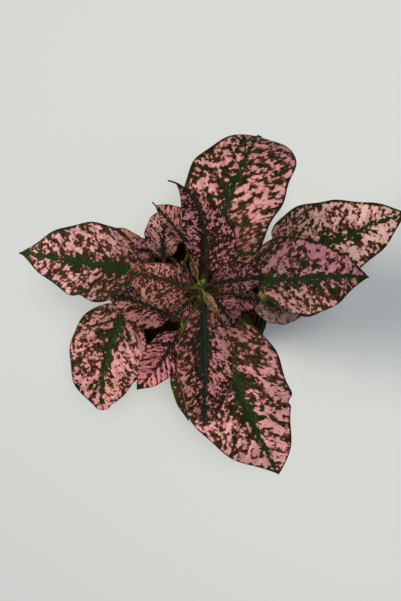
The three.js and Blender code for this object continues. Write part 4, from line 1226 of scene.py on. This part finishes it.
# From the maroon rim of a splash to the green, which is greyer along the midrib.
def greenColour(tree, look, share, bent, offRib, toEdge):
    start = look["darkUpTo"]
    stops = [(start, look["green"]), (start / 2 + leafPaint["rimAt"], look["rim"]), (0.5, look["fleck"])]
    mottled = fromTo(tree, noiseAt(tree, bent, leafPaint["mottleSize"], 2), *leafPaint["mottle"])
    nearRib = times(tree, fromTo(tree, offRib, leafPaint["midFrom"], look["midReach"], 1, 0), mottled)
    nearRib = times(tree, nearRib, fromTo(tree, toEdge, *leafPaint["greenWhereNarrow"]))
    return mixColours(tree, nearRib, ramp(tree, share, stops), look["midGreen"])


# A grey-green midrib, and fine darker side veins.
def addVeins(tree, look, colour, along, offRib, toEdge, ribSize):
    atBase, atTip = (width * ribSize * look["ribShare"] for width in leafPaint["ribWidths"])
    ribWidth = fromTo(tree, along, 0, bladeForm["usualLength"], atBase, atTip)
    onRib = fromTo(tree, calc(tree, "DIVIDE", offRib, ribWidth), *leafPaint["ribEdge"])
    onRib = times(tree, onRib, fromTo(tree, toEdge, *leafPaint["ribWhereNarrow"]))
    colour = mixColours(tree, times(tree, onRib, leafPaint["ribStrength"]), colour, look["rib"])
    phase = calc(tree, "DIVIDE", readPoint(tree, "veinFoot"), look["veins"])
    apart = calc(tree, "ABSOLUTE", calc(tree, "SUBTRACT", phase, calc(tree, "ROUND", phase)))
    onVein = fromTo(tree, apart, *leafPaint["veinLine"], look["veinDark"], 0)
    return mixColours(tree, onVein, colour, look["rim"])


# The thin line along the leaf's edge, worn in places, and yellow spots.
def addWear(tree, look, colour, grain, toEdge):
    worn = fromTo(tree, noiseAt(tree, grain, leafPaint["wornSize"], 2), *leafPaint["worn"])
    nearEdge = times(tree, fromTo(tree, toEdge, *leafPaint["edgeLine"]), worn)
    colour = mixColours(tree, nearEdge, colour, look["edgeTone"])
    spots = fromTo(tree, noiseAt(tree, grain, leafPaint["yellowSize"], 2), *leafPaint["yellowSpots"])
    return mixColours(tree, times(tree, readPoint(tree, "yellowed"), spots), colour, leafPaint["yellowed"])


def leafFinish(node, look, ribSize):
    material, tree, shader = newMaterial(node + " splashes", leafPaint["shine"])
    across, along, top = splitVector(tree, readPoint(tree, "spot", "Vector"))
    offRib, toEdge = calc(tree, "ABSOLUTE", across), readPoint(tree, "toEdge")
    grain = readPoint(tree, "grain", "Vector")
    push = noiseAt(tree, grain, leafPaint["pushSize"], 1, output="Color")
    push = calcVector(tree, "SUBTRACT", push, (0.5, 0.5, 0.5))
    bent = calcVector(tree, "ADD", grain, calcVector(tree, "SCALE", push, scale=leafPaint["push"]))

    share = splashShare(tree, look, grain, bent)
    pink = pinkColour(tree, look, grain, share)
    green = greenColour(tree, look, share, bent, offRib, toEdge)
    edgeHalf = leafPaint["edgeHalf"] * look["softness"]
    isPink = fromTo(tree, share, leafPaint["edgeAt"] - edgeHalf, leafPaint["edgeAt"] + edgeHalf)
    colour = mixColours(tree, isPink, green, pink)
    colour = addVeins(tree, look, colour, along, offRib, toEdge, ribSize)
    colour = addWear(tree, look, colour, grain, toEdge)

    # The underside is paler and duller, and the stalk is green with a flush.
    under = mixColours(tree, leafPaint["underShare"], colour, leafPaint["under"])
    colour = mixColours(tree, top, under, colour)
    flushed = fromTo(tree, noiseAt(tree, grain, leafPaint["flushSize"], 2), *leafPaint["flush"])
    stalkColour = mixColours(tree, flushed, look["stalkTone"], leafPaint["stalkFlush"])
    onBlade = fromTo(tree, along, leafPaint["stalkFrom"], look["stalkEnd"])
    colour = mixColours(tree, onBlade, stalkColour, colour)
    plug(tree, shader.inputs["Base Color"], colour)

    plug(tree, shader.inputs["Roughness"], fromTo(tree, share, *leafPaint["roughness"]))
    toNet = cellsAt(tree, bent, leafPaint["netSize"], "DISTANCE_TO_EDGE", "Distance")
    net = fromTo(tree, toNet, *leafPaint["netEdge"])
    fine = noiseAt(tree, grain, leafPaint["grainSize"], 3)
    height = calc(tree, "MULTIPLY_ADD", fine, leafPaint["grainShare"], net)
    bump(tree, shader, height, leafPaint["relief"])
    return material


print("camera and light")
addCamera()
addLights()
addSky()
addFloor()
print("pot and soil")
makePot()
makeSoil()
print("stems")
makeStems()
for leafNode, leafOwn in leaves.items():
    growLeaf(leafNode, leafOwn)
print("leaves grown:", len(leaves))
